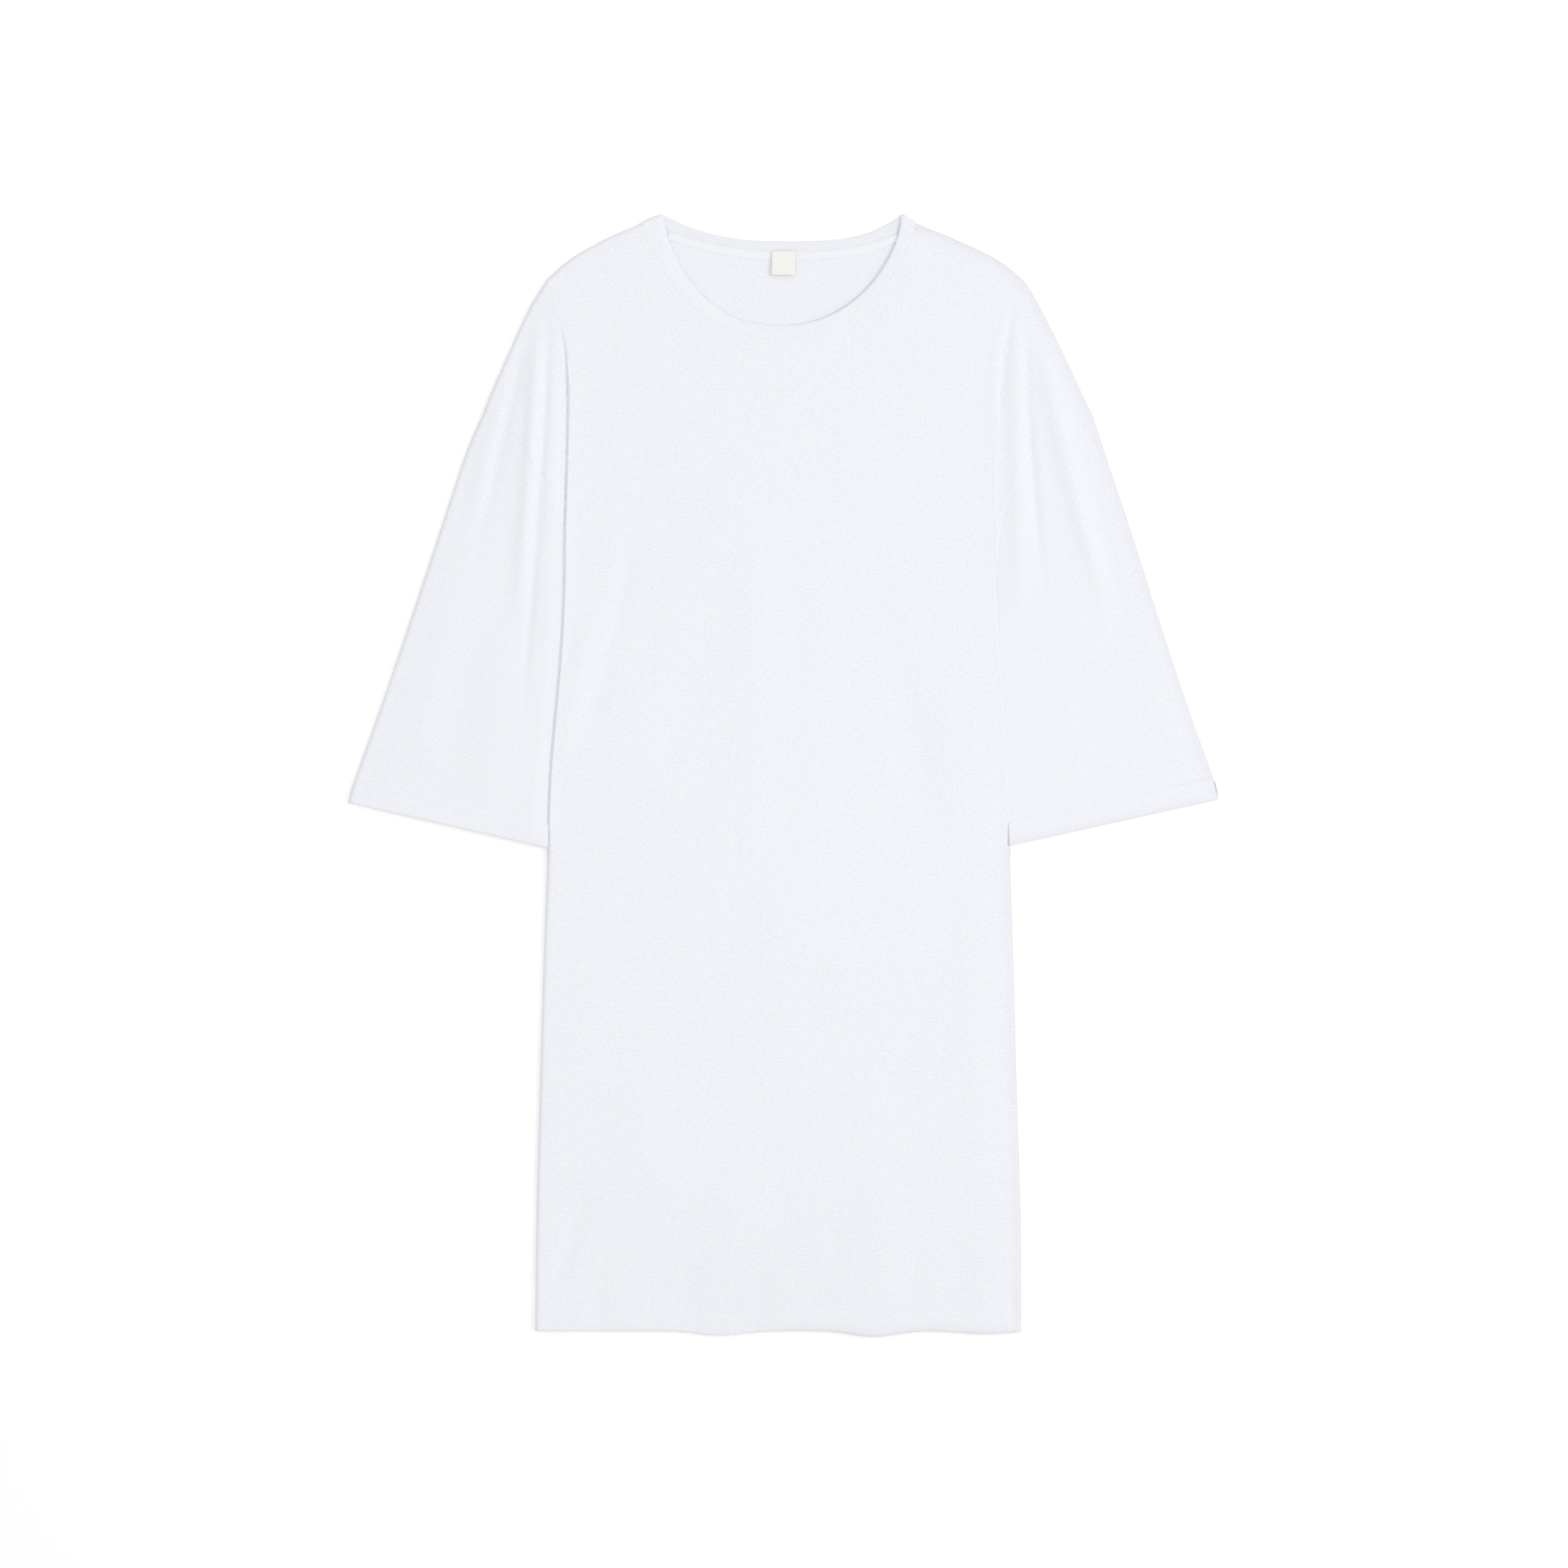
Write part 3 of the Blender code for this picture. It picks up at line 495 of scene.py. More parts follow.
# front panel
front = {
    "wall": 1.5, "thin": 0.62, "sideColumns": 26, "innerColumns": 12, "shoulderColumns": 8, "neckColumns": 84,
    "innerWidth": 26.0, "sideRoll": 6.0, "lowerRows": 96, "upperRows": 104, "stitchDip": 0.05,
    "neckStitch": 1.4,      # topstitching, outside the band's seam
    "allowance": 0.12,      # what the turned seam allowance lifts
    "neckDip": 0.15, "neckDipWidth": 0.35,
    "tuckedIn": 0.4,        # how far its neck edge lies below the band
    "underBand": 0.7,       # how far its neck edge runs on under the band
    "hemRoll": 0.45, "seamDip": 0.1, "seamRidge": 0.12, "ridgeReach": 7.0,
    "hemRows": (0, 0.35, 0.9, 1.8, 3.5, 6, 9, 12, 14.2, 15.3, 15.9, 16.3, 16.7, 17.1, 17.7, 18.8, 20.5, 22.5),
}


def hemShare(points):   # 1 on the turned-up hem of the body, and the distance above its edge
    above = hemDown + hemWave(points[:, 0]) - points[:, 1]
    return ease((garment["hemDepth"] + 1.2 - above) / 1.6), above


def frontTop(points):
    points = np.asarray(points, float)
    hem, above = hemShare(points)
    height = upperTop(points, hem)
    neck = nearest(points, frontNeckLine)[0]
    height += front["allowance"] * ease((front["neckStitch"] + 0.8 - neck) / 0.8)
    height -= front["stitchDip"] * np.exp(-(((neck - front["neckStitch"]) / 0.55) ** 2))
    height -= front["neckDip"] * np.exp(-((neck / front["neckDipWidth"]) ** 2))
    under = points[:, 1] < np.interp(points[:, 0], *np.array(frontNeckLine, float).T)
    height -= np.where(under, front["tuckedIn"] * ease(neck / 0.5), 0)
    height -= front["stitchDip"] * np.exp(-(((above - garment["hemDepth"]) / 0.6) ** 2))
    height -= front["hemRoll"] * (1 - rolled(above, 1.0))
    for side in (-1, 1):
        seam = nearest(points, armholeLines[side])[0]
        height -= front["seamDip"] * np.exp(-((seam / 0.6) ** 2))
        height += front["seamRidge"] * ease((front["ridgeReach"] - seam) / 2) * ease(seam / 1.5)
    return height


rows = panelRows(frontSeam, front, -front["underBand"])
flatPlaces = rows.reshape(-1, 2)
frontPlaces = toWorld(flatPlaces, frontTop(flatPlaces))
frontPanel = clothGrid("frontPanel", frontPlaces.reshape(*rows.shape[:2], 3), frontPlaces[:, :2])
hem, above = hemShare(flatPlaces)
neck = nearest(flatPlaces, frontNeckLine)[0]
below = flatPlaces[:, 1] > max(cuffCorner.values())
outer = np.where(below, nearer(flatPlaces, bodyLines), nearer(flatPlaces, outerLines))
# painted shade and highlight on the front, and its lighter tone where the cloth lies double
tone = toneAndPaintedShade(flatPlaces, hem, np.minimum(outer, above + 1.5))
# painted shade towards the folded edge of the hem
tone -= shading["hemRimShade"] * np.exp(-np.maximum(above, 0) / shading["hemRimShadeReach"])
keepToneAndPaintedShade(frontPanel, tone + shading["double"] * ease((front["neckStitch"] + 0.8 - neck) / 0.8))
weighHem(frontPanel, hem)
thicken(frontPanel, front["wall"], front["thin"])
pressFlat(frontPanel)
print("front panel", len(frontPanel.data.polygons))

# back panel, flat on its face
back = {
    "sideColumns": 6, "innerColumns": 4, "shoulderColumns": 4, "neckColumns": 60, "innerWidth": 26.0,
    "sideRoll": 6.0, "lowerRows": 26, "upperRows": 56, "inset": 0.4, "neckGap": 0.15, "hemRoll": 0.3,
    "ripple": 0.05, "rippleDown": 160.0,
    "hemRows": (0, 0.5, 1.5, 8, 15.5, 16.5, 17.5, 20),
}


def backTop(points):
    points = np.asarray(points, float)
    hem, above = hemShare(points)
    height = garment["wall"] + garment["hemExtra"] * hem
    height -= back["hemRoll"] * (1 - rolled(above, 1.0))
    inside = nearest(points, backNeckLine)[0]
    uneven = ripple(points, 11, back["ripple"])
    return height + uneven * ease(inside / 12) * ease((back["rippleDown"] - points[:, 1]) / 30)


rows = panelRows(backSeam, back, back["neckGap"], back["inset"])
flatPlaces = rows.reshape(-1, 2)
high = toWorld(flatPlaces, backTop(flatPlaces))
backPanel = clothGrid("backPanel", high.reshape(*rows.shape[:2], 3), high[:, :2])
weighHem(backPanel, hemShare(flatPlaces)[0])
hemWall = garment["wall"] + garment["hemExtra"]
thicken(backPanel, hemWall, garment["wall"] / hemWall)
pressFlat(backPanel, 0.55)
print("back panel", len(backPanel.data.polygons))

# sleeves, flattened tubes
sleeve = {
    "wall": 1.4, "thin": 0.66, "rows": 96, "columns": 66, "underColumns": 26,
    "tuck": 0.9,            # how far it runs on under the armhole seam
    "gap": -0.7,            # from the body's side edge, so no floor shows between them
    "stitchDip": 0.05, "cuffRoll": 0.4, "seamDip": 0.16, "underRoll": 1.6,
    "cuffRows": (18.9, 18.3, 17.9, 17.5, 16.9, 15.5, 12, 8, 4, 2, 1, 0.4, 0),
}


def sleeveGrid(side, steps, across):   # places across and down, from the armhole seam to the cuff
    seam = smoothLine(sidePoints(armhole, side), across)[::-1]
    along = np.gradient(seam, axis=0)
    normal = np.column_stack([-along[:, 1], along[:, 0]]) * (1 if side < 0 else -1)
    normal /= np.linalg.norm(normal, axis=1)[:, None]
    seam = seam - normal * sleeve["tuck"]
    run = lengths(seam)
    across = run / run[-1]
    outer = smoothLine(sidePoints(sleeveEdge, side), steps)
    down = seam[-1][1] + steps * (cuffCorner[side] - seam[-1][1])
    inner = np.column_stack([side * (bodySide(down, side) + sleeve["gap"]), down])
    cuff = outer[-1] + across[:, None] * (inner[-1] - outer[-1])
    rows = []
    for share, start, end in zip(steps, outer, inner):
        row = seam + share * (cuff - seam)
        row += (1 - across[:, None]) * (start - row[0]) + across[:, None] * (end - row[-1])
        rows.append(row)
    return np.array(rows)


def sleeveSteps(side):
    size = lengths(sidePoints(sleeveEdge, side))[-1]
    cuff = 1 - np.array(sleeve["cuffRows"]) / size
    plain = np.linspace(0, 1, sleeve["rows"]) ** 0.9 * (cuff[0] - 3 / size)
    return np.concatenate([plain, cuff]), size


def sleeveTop(points, cuffAway, side):
    cuffHem = ease((garment["cuffDepth"] + 1.2 - cuffAway) / 1.6)
    height = upperTop(points, cuffHem, "sleeve")
    height -= sleeve["stitchDip"] * np.exp(-(((cuffAway - garment["cuffDepth"]) / 0.6) ** 2))
    height -= sleeve["cuffRoll"] * (1 - rolled(cuffAway, 1.0))
    seam = nearest(points, armholeLines[side])[0]
    return height - sleeve["seamDip"] * np.exp(-(seam**2)), cuffHem


def makeSleeve(name, side):
    steps, size = sleeveSteps(side)
    over = sleeveGrid(side, steps, spread(sleeve["columns"]))
    count, columns = over.shape[:2]
    cuffLine = over[-1]
    flat = over.reshape(-1, 2)
    cuffAway = nearest(flat, cuffLine)[0]
    top, cuffHem = sleeveTop(flat, cuffAway, side)
    outer = np.minimum(nearest(flat, outerLines[side])[0], cuffAway + 1.0)
    # painted shade and highlight on the sleeve's upper face, and its lighter tone where the cuff lies double
    tone = toneAndPaintedShade(flat, cuffHem, outer).reshape(count, columns)
    top, cuffHem = top.reshape(count, columns), cuffHem.reshape(count, columns)
    keep = np.round(np.linspace(0, 1, sleeve["underColumns"] + 1) * (columns - 1)).astype(int)
    nearEdges = (0, 1, 2, 3, 4, 5, 7)   # closer columns where the underside rolls up
    keep = np.unique(np.concatenate([nearEdges, keep, [columns - 1 - n for n in nearEdges]]))
    under = over[:, keep]
    outer = np.linalg.norm(under - over[:, :1], axis=2)
    inner = np.linalg.norm(under - over[:, -1:], axis=2)
    low = garment["edgeHeight"] * (1 - rolled(np.minimum(outer, inner), sleeve["underRoll"]))
    heights = np.hstack([top, low[:, ::-1][:, 1:]])
    places = np.concatenate([over, under[:, ::-1][:, 1:]], axis=1)
    weights = np.hstack([cuffHem, cuffHem[:, keep][:, ::-1][:, 1:]])
    heights[:, -1] = heights[:, 0]
    tone = np.hstack([tone, np.zeros(tone[:, keep].shape)[:, 1:]])
    run = np.array([lengths(row) for row in places])
    width = run[-1]
    u = np.repeat(width[None, :], count, axis=0) * side * -1
    v = np.repeat((steps * size)[:, None], places.shape[1], axis=1)
    coords = np.dstack([u, -v]) * mm
    if side < 0:
        places, heights, weights, coords = places[::-1], heights[::-1], weights[::-1], coords[::-1]
        tone = tone[::-1]
    world = toWorld(places.reshape(-1, 2), heights.reshape(-1)).reshape(*places.shape[:2], 3)
    piece = clothGrid(name, world, coords)
    keepToneAndPaintedShade(piece, tone.reshape(-1))
    weighHem(piece, weights)
    bpy.ops.object.mode_set(mode="EDIT")
    bpy.ops.mesh.select_all(action="SELECT")
    bpy.ops.mesh.remove_doubles(threshold=0.00001)
    bpy.ops.object.mode_set(mode="OBJECT")
    thicken(piece, sleeve["wall"], sleeve["thin"])
    pressFlat(piece)
    print(name, len(piece.data.polygons))
    return piece, cuffLine


sleeveLeft, cuffLeft = makeSleeve("sleeveLeft", -1)
sleeveRight, cuffRight = makeSleeve("sleeveRight", 1)

# neckband, one folded ring round the neck
band = {
    "halfWall": 0.6, "width": 12.0, "puff": 0.15, "frontStations": 110, "backStations": 80, "turnStations": 9,
    "frontEnd": 0.99, "backEnd": 0.967, "edgeTop": 2.3, "seamRise": 0.02, "tipHeight": 1.9, "backShade": 0.02,
    "rise": 1.4, "riseFrom": -0.1, "riseOver": 0.6,             # it stands open on the right half
    "leftRise": 0.35, "leftRiseFrom": 0.15, "leftRiseOver": 0.45,
    "profile": [   # share of the width from the seam, and of the half wall
        (0.0, 0.6), (0.025, 0.9), (0.09, 0.99), (0.27, 1.0), (0.5, 1.0), (0.72, 1.0), (0.87, 0.97),
        (0.955, 0.72), (0.99, 0.36), (1.0, 0.0), (0.99, -0.36), (0.955, -0.72), (0.87, -0.97),
        (0.5, -1.0), (0.09, -0.98), (0.0, -0.6),
    ],
}


def bandRing():   # middle of the band at its seam and at its free edge, station by station, in mm
    def half(seamCurve, edgeCurve, end, count, seamHeight, edgeHeight):
        shares = [end * share for share in neckSteps(count)]
        seam = np.array([sag(seamCurve, share) for share in shares])
        edge = np.array([sag(edgeCurve, share) for share in shares])
        seam = np.column_stack([seam, seamHeight(seam, shares)])
        return seam, np.column_stack([edge, edgeHeight(edge, shares)])

    def seamTop(seam, shares):
        return frontTop(seam) + band["seamRise"] - band["halfWall"]

    def edgeTop(edge, shares):
        shares = np.array(shares)
        lifted = band["rise"] * ease((shares - band["riseFrom"]) / band["riseOver"])
        lifted += band["leftRise"] * ease((-shares - band["leftRiseFrom"]) / band["leftRiseOver"])
        return band["edgeTop"] - band["halfWall"] + lifted

    def flatDown(places, shares):
        return np.full(len(places), band["halfWall"])

    over = half(frontSeam, frontEdge, band["frontEnd"], band["frontStations"], seamTop, edgeTop)
    under = half(backSeam, backEdge, band["backEnd"], band["backStations"], flatDown, flatDown)
    angles = np.linspace(0, math.pi, band["turnStations"] + 2)[1:-1]

    def turn(start, tip, end):
        places = []
        for angle in angles:
            near = start if angle <= math.pi / 2 else end
            plan = near[:2] + (tip[:2] - near[:2]) * math.sin(angle)
            height = tip[2] + (near[2] - tip[2]) * abs(math.cos(angle))
            places.append([*plan, height])
        return np.array(places)

    rings = []
    for layer, (frontCurve, backCurve) in enumerate([(over[0], under[0]), (over[1], under[1])]):
        rightTip = sidePoints(neckTip, 1)[layer]
        leftTip = sidePoints(neckTip, -1)[layer]
        right = turn(frontCurve[-1], np.array([*rightTip, band["tipHeight"]]), backCurve[-1])
        left = turn(backCurve[0], np.array([*leftTip, band["tipHeight"]]), frontCurve[0])
        rings.append(np.vstack([frontCurve, right, backCurve[::-1], left]))
    return rings


seamRing, edgeRing = bandRing()
seamRing[:, 1] *= -1   # up the page, so that a cross product points out of the cloth
edgeRing[:, 1] *= -1
acrossBand = edgeRing - seamRing
middleRing = (edgeRing + seamRing) / 2
alongBand = np.roll(middleRing, -1, axis=0) - np.roll(middleRing, 1, axis=0)
outOf = np.cross(alongBand, acrossBand)
outOf /= np.linalg.norm(outOf, axis=1)[:, None]
profile = np.array(band["profile"])
puffs = band["puff"] * np.sin(math.pi * profile[:, 0]) ** 0.7 * (profile[:, 1] > 0)
reach = profile[:, 1] * band["halfWall"] + puffs
sections = seamRing[:, None, :] + profile[None, :, :1] * acrossBand[:, None, :]
sections = sections + reach[None, :, None] * outOf[:, None, :]
sections[:, :, 2] = np.maximum(sections[:, :, 2], 0)
sections[:, :, 1] += garment["length"] / 2
bpy.ops.object.select_all(action="DESELECT")
bpy.ops.mesh.primitive_torus_add(major_segments=len(seamRing), minor_segments=len(profile))
neckBand = bpy.context.object
neckBand.name = neckBand.data.name = "neckBand"
neckBand.data.vertices.foreach_set("co", (sections * mm).reshape(-1))
ringRun = lengths(np.vstack([middleRing, middleRing[:1]]))
bandRun = lengths(np.column_stack([profile[:, 0] * band["width"], profile[:, 1] * band["halfWall"]]))
bandCoords = np.dstack(np.meshgrid(ringRun[:-1], bandRun, indexing="ij")).reshape(-1, 2) * mm
layCoords(neckBand, bandCoords, around=(ringRun[-1] * mm, 1e3))
bpy.ops.object.mode_set(mode="EDIT")
bpy.ops.mesh.select_all(action="SELECT")
bpy.ops.mesh.normals_make_consistent(inside=False)
bpy.ops.object.mode_set(mode="OBJECT")
# painted shade over the back half of the band
ringShade = np.zeros(len(seamRing))
ringShade[band["frontStations"] + band["turnStations"]:-band["turnStations"]] = -band["backShade"]
keepToneAndPaintedShade(neckBand, np.repeat(ringShade, len(profile)))
finishShape(neckBand, 70)
print("neckband", len(neckBand.data.polygons), "length", round(ringRun[-1], 1))

# tape over the back neck seam
tape = {
    "reach": 92.5, "width": 6.8, "offset": -0.3, "wall": 0.42, "shell": 0.6, "rest": 1.15, "columns": 96,
    "rows": 14, "edgeIn": 0.9, "crown": 0.2, "stitchDip": 0.1, "edgeShare": 0.55, "ripple": 0.06,
}
across = np.linspace(-tape["reach"], tape["reach"], tape["columns"] + 1)
upper = np.array([sag(backSeam, (x - backSeam.middle) / backSeam.halfWidth, tape["offset"]) for x in across])
slope = np.gradient(upper, axis=0)
downwards = np.column_stack([-slope[:, 1], slope[:, 0]]) / np.linalg.norm(slope, axis=1)[:, None]
shares = spread(tape["rows"], 0.7)[::-1]
rows = np.array([upper + downwards * tape["width"] * share for share in shares])
away = np.repeat(np.minimum(shares, 1 - shares)[:, None] * tape["width"], len(across), axis=1)
crown = tape["wall"] + tape["crown"] * ease(away / 2.2)
crown -= tape["stitchDip"] * np.exp(-(((away - tape["edgeIn"]) / 0.35) ** 2))
crown *= tape["edgeShare"] + (1 - tape["edgeShare"]) * rolled(away, 0.4)
crown += ripple(rows.reshape(-1, 2), 3, tape["ripple"]).reshape(away.shape)
coords = np.dstack(np.meshgrid(lengths(upper), shares * -tape["width"])) * mm
world = toWorld(rows.reshape(-1, 2), tape["rest"] + crown.reshape(-1)).reshape(*away.shape, 3)
neckTape = clothGrid("neckTape", world, coords)
thicken(neckTape, tape["shell"])
print("neck tape", len(neckTape.data.polygons))

# woven label, folded into a loop
label = {
    "width": 18.8, "length": 19.6, "across": 0.4, "down": 30.4, "wall": 0.42, "rest": 2.2, "gap": 1.15,
    "columns": 22, "lift": 0.9, "skew": 0.9, "cup": 0.12,
}
straight = label["length"] - label["gap"] / 2
path = []
for s in np.linspace(0, 1, 16):
    path.append((s * straight, label["gap"] + label["lift"] * s**2, s))
for angle in np.linspace(0, math.pi, 9)[1:-1]:
    lift = label["lift"] + label["gap"] / 2 * (1 + math.cos(angle))
    path.append((straight + label["gap"] / 2 * math.sin(angle), lift, 1))   # round the fold
for s in np.linspace(1, 0, 16):
    path.append((s * straight, label["lift"] * s**2, s))
path = np.array(path)
runDown = lengths(path[:, :2])
acrossLabel = np.linspace(-0.5, 0.5, label["columns"] + 1) * label["width"]
places, heights = [], []
for i, (down, height, share) in enumerate(path[::-1]):
    lower = ease((len(path) / 2 - (len(path) - 1 - i)) / -6)
    shift = -label["skew"] * lower * share
    downLabel = np.full(len(acrossLabel), label["down"] + down)
    places.append(np.column_stack([label["across"] + acrossLabel + shift, downLabel]))
    heights.append(label["rest"] + height + label["cup"] * np.cos(acrossLabel / 5) * share)
labelCoords = np.dstack(np.meshgrid(acrossLabel, runDown[::-1])) * mm
world = toWorld(np.array(places).reshape(-1, 2), np.array(heights).reshape(-1)).reshape(len(path), -1, 3)
wovenLabel = clothGrid("wovenLabel", world, labelCoords)
thicken(wovenLabel, label["wall"])
print("label", len(wovenLabel.data.polygons))

# stitches, modelled once and copied along each line
stitch = {
    "width": 0.6, "height": 0.3, "share": 0.9, "hemPitch": 2.9, "neckPitch": 2.4, "tapePitch": 2.2,
    "up": 0.16,             # middle of the thread over the cloth
    "underUp": 0.2,         # and over the table on the underside
    "sideGap": 0.8,
}


def stitchLine(name, places, pitch):   # places in mm across, down and up
    places = np.array(places, float)
    run = lengths(places)
    count = int(run[-1] / pitch)
    at = (np.arange(count) + 0.5) * run[-1] / count
    spots, ahead, behind = (placesAt(places, run, at + move) for move in (0, 0.6, -0.6))
    bpy.ops.object.select_all(action="DESELECT")
    bpy.ops.mesh.primitive_uv_sphere_add(segments=6, ring_count=5, radius=0.5)
    first = bpy.context.object
    turn = Matrix.Rotation(math.pi / 2, 4, "Y")
    size = Matrix.Diagonal((pitch * stitch["share"], stitch["width"], stitch["height"], 1))
    first.data.transform(size @ turn)
    copies = []
    for spot, before, after in zip(spots, behind, ahead):
        way = Vector(((after - before)[0], (before - after)[1], (after - before)[2])).normalized()
        sideways = Vector((0, 0, 1)).cross(way).normalized()
        frameOf = Matrix((way, sideways, way.cross(sideways))).transposed().to_4x4()
        place = Matrix.Translation((spot[0], garment["length"] / 2 - spot[1], spot[2]))
        copy = first.copy()
        copy.data = first.data.copy()
        copy.data.transform(Matrix.Scale(mm, 4) @ place @ frameOf)
        bpy.context.collection.objects.link(copy)
        copies.append(copy)
    bpy.data.objects.remove(first)
    for copy in copies:
        copy.select_set(True)
    bpy.context.view_layer.objects.active = copies[0]
    bpy.ops.object.join()
    line = bpy.context.object
    line.name = line.data.name = name
    bpy.ops.object.shade_smooth()
    return line


def onFront(points):
    points = np.asarray(points, float)
    return np.column_stack([points, frontTop(points) + stitch["up"]])


def onTable(line):
    return np.column_stack([line, np.full(len(line), stitch["underUp"])])


leftEnd, rightEnd = -bodySide(890, -1) + stitch["sideGap"], bodySide(890, 1) - stitch["sideGap"]
acrossHem = np.linspace(leftEnd, rightEnd, 160)
hemLine = np.column_stack([acrossHem, hemDown + hemWave(acrossHem) - garment["hemDepth"]])
hemStitches = stitchLine("hemStitches", onFront(hemLine), stitch["hemPitch"])
hemStitchesBack = stitchLine("hemStitchesBack", onTable(hemLine[4:-4]), stitch["hemPitch"])

outsideNeck = [sag(frontSeam, share * 0.995, front["neckStitch"]) for share in neckShares]
neckStitches = stitchLine("neckStitches", onFront(outsideNeck), stitch["neckPitch"])
tapeLines = []
edgeShare = tape["edgeIn"] / tape["width"]
for name, share in (("tapeStitchesUpper", edgeShare), ("tapeStitchesLower", 1 - edgeShare)):
    line = upper + downwards * tape["width"] * share
    heights = np.full(len(line), tape["rest"] + tape["wall"] + 0.1)
    tapeLines.append(stitchLine(name, np.column_stack([line, heights]), stitch["tapePitch"]))


def cuffStitches(name, side, cuffLine):
    steps, size = sleeveSteps(side)
    stitchAt = np.array([1 - garment["cuffDepth"] / size])
    grid = sleeveGrid(side, np.concatenate([[0], stitchAt, [1]]), np.linspace(0, 1, 80))
    line = grid[1][1:-1]
    top = sleeveTop(line, nearest(line, cuffLine)[0], side)[0] + stitch["up"]
    over = stitchLine(name, np.column_stack([line, top]), stitch["hemPitch"])
    under = stitchLine(name + "Under", onTable(line[2:-2]), stitch["hemPitch"])
    return over, under


cuffOverLeft, cuffUnderLeft = cuffStitches("cuffStitchesLeft", -1, cuffLeft)
cuffOverRight, cuffUnderRight = cuffStitches("cuffStitchesRight", 1, cuffRight)
sewing = [hemStitches, hemStitchesBack, neckStitches, *tapeLines]
sewing += [cuffOverLeft, cuffUnderLeft, cuffOverRight, cuffUnderRight]
print("stitches", sum(len(line.data.polygons) for line in sewing))


# materials
class Wire:   # a socket that can be used in sums
    def __init__(self, tree, socket):
        self.tree = tree
        self.socket = socket

    def node(self, kind, settings=None, values=None, output=0):
        made = self.tree.nodes.new(kind)
        for name, value in (settings or {}).items():
            setattr(made, name, value)
        for name, value in (values or {}).items():
            if isinstance(value, Wire):
                self.tree.links.new(value.socket, made.inputs[name])
            else:
                made.inputs[name].default_value = value
        return Wire(self.tree, made.outputs[output])

    def maths(self, operation, *values):
        return self.node("ShaderNodeMath", {"operation": operation}, dict(enumerate(values)))

    def __add__(self, other):
        return self.maths("ADD", self, other)

    def __sub__(self, other):
        return self.maths("SUBTRACT", self, other)

    def __rsub__(self, other):
        return self.maths("SUBTRACT", other, self)

    def __mul__(self, other):
        return self.maths("MULTIPLY", self, other)

    __radd__ = __add__
    __rmul__ = __mul__

    def mix(self, first, second):   # first where this is 0, second where it is 1
        settings = {"data_type": "RGBA"}
        return self.node("ShaderNodeMix", settings, {0: self, 6: first, 7: second}, 2)


def newFinish(name, roughness, sheen):
    material = bpy.data.materials.new(name)
    material.use_nodes = True
    tree = material.node_tree
    shader = tree.nodes["Principled BSDF"]
    shader.inputs["Roughness"].default_value = roughness
    shader.inputs["Sheen Weight"].default_value = sheen
    shader.inputs["Specular IOR Level"].default_value = 0.25
    coords = Wire(tree, None).node("ShaderNodeUVMap", {"uv_map": "cloth"})
    return material, shader, coords


def join(shader, colour, height):   # height in metres
    tree = colour.tree
    bump = colour.node("ShaderNodeBump", {}, {"Strength": 1.0, "Distance": 1.0, "Height": height})
    tree.links.new(colour.socket, shader.inputs["Base Color"])
    tree.links.new(bump.socket, shader.inputs["Normal"])


def scaled(coords, across, down):
    return coords.node("ShaderNodeMapping", {}, {"Vector": coords, "Scale": (across, down, 1)})


def noise(coords, scale, detail=2.0, rough=0.5):
    values = {"Vector": coords, "Scale": scale, "Detail": detail, "Roughness": rough}
    return coords.node("ShaderNodeTexNoise", {}, values)


def split(coords):   # across and down the cloth
    return [coords.node("ShaderNodeSeparateXYZ", {}, {"Vector": coords}, i) for i in (0, 1)]


def wave(value, size):   # from -1 to 1, once over each size
    return (value * (2 * math.pi / size)).maths("SINE")


def between(value, low, high):   # 0 at low and 1 at high
    limits = {"Value": value, "From Min": low, "From Max": high}
    return value.node("ShaderNodeMapRange", {"clamp": True}, limits)


def knit(name, values):
    material, shader, coords = newFinish(name, values["roughness"], values["sheen"])
    wobble = noise(coords, 90, 2) - 0.5
    u, v = split(coords)
    u = u + wobble * 0.0012
    v = v + wobble * 0.0009
    wale = wave(u, values["wale"])
    legs = wave(u, 2 * values["wale"]).maths("ABSOLUTE")
    course = wave(v + legs * (values["course"] * 0.6), values["course"])
    thick = between(noise(scaled(coords, 130, 640), 1.0, 3, 0.6), 0.42, 0.72)
    grain = between(noise(scaled(coords, 420, 560), 1.0, 2, 0.6), 0.3, 0.7)
    cloudy = noise(coords, 9, 2)
    fuzz = noise(coords, 3200, 1)
    loops = (wale * 0.5 + 0.5) * (course * 0.35 + 0.65)
    height = loops * values["loopDepth"] + thick * values["slubDepth"] + fuzz * 0.00002
    shade = thick * 0.27 + cloudy * 0.09 + grain * 0.64
    tone = shade.mix((*values["dark"], 1), (*values["light"], 1))
    # painted shade in the valleys between the knit loops
    loopValleyShade = (loops * 0.5 + 0.5).maths("POWER", 0.5)
    colour = loopValleyShade.mix((*values["loopValleyShade"], 1), tone)
    # scales the colour by the painted shade and highlight kept on the cloth, and the lighter tone of double
    # cloth
    layers = coords.node("ShaderNodeAttribute", {"attribute_name": "layers"}, {}, 2)
    toned = {"Vector": colour, "Scale": layers + 1.0}
    colour = colour.node("ShaderNodeVectorMath", {"operation": "SCALE"}, toned)
    join(shader, colour, height)
    return material


cloth = {
    "roughness": 0.92, "sheen": 0.12, "wale": 0.00085, "course": 0.00072,
    "loopDepth": 0.00009, "slubDepth": 0.00007,
    "dark": (0.766, 0.774, 0.812), "light": (0.9, 0.908, 0.948), "loopValleyShade": (0.76, 0.77, 0.81),
}
jersey = knit("whiteJersey", cloth)
ribbed = knit("whiteBand", {**cloth, "wale": 0.0007, "course": 0.0009})


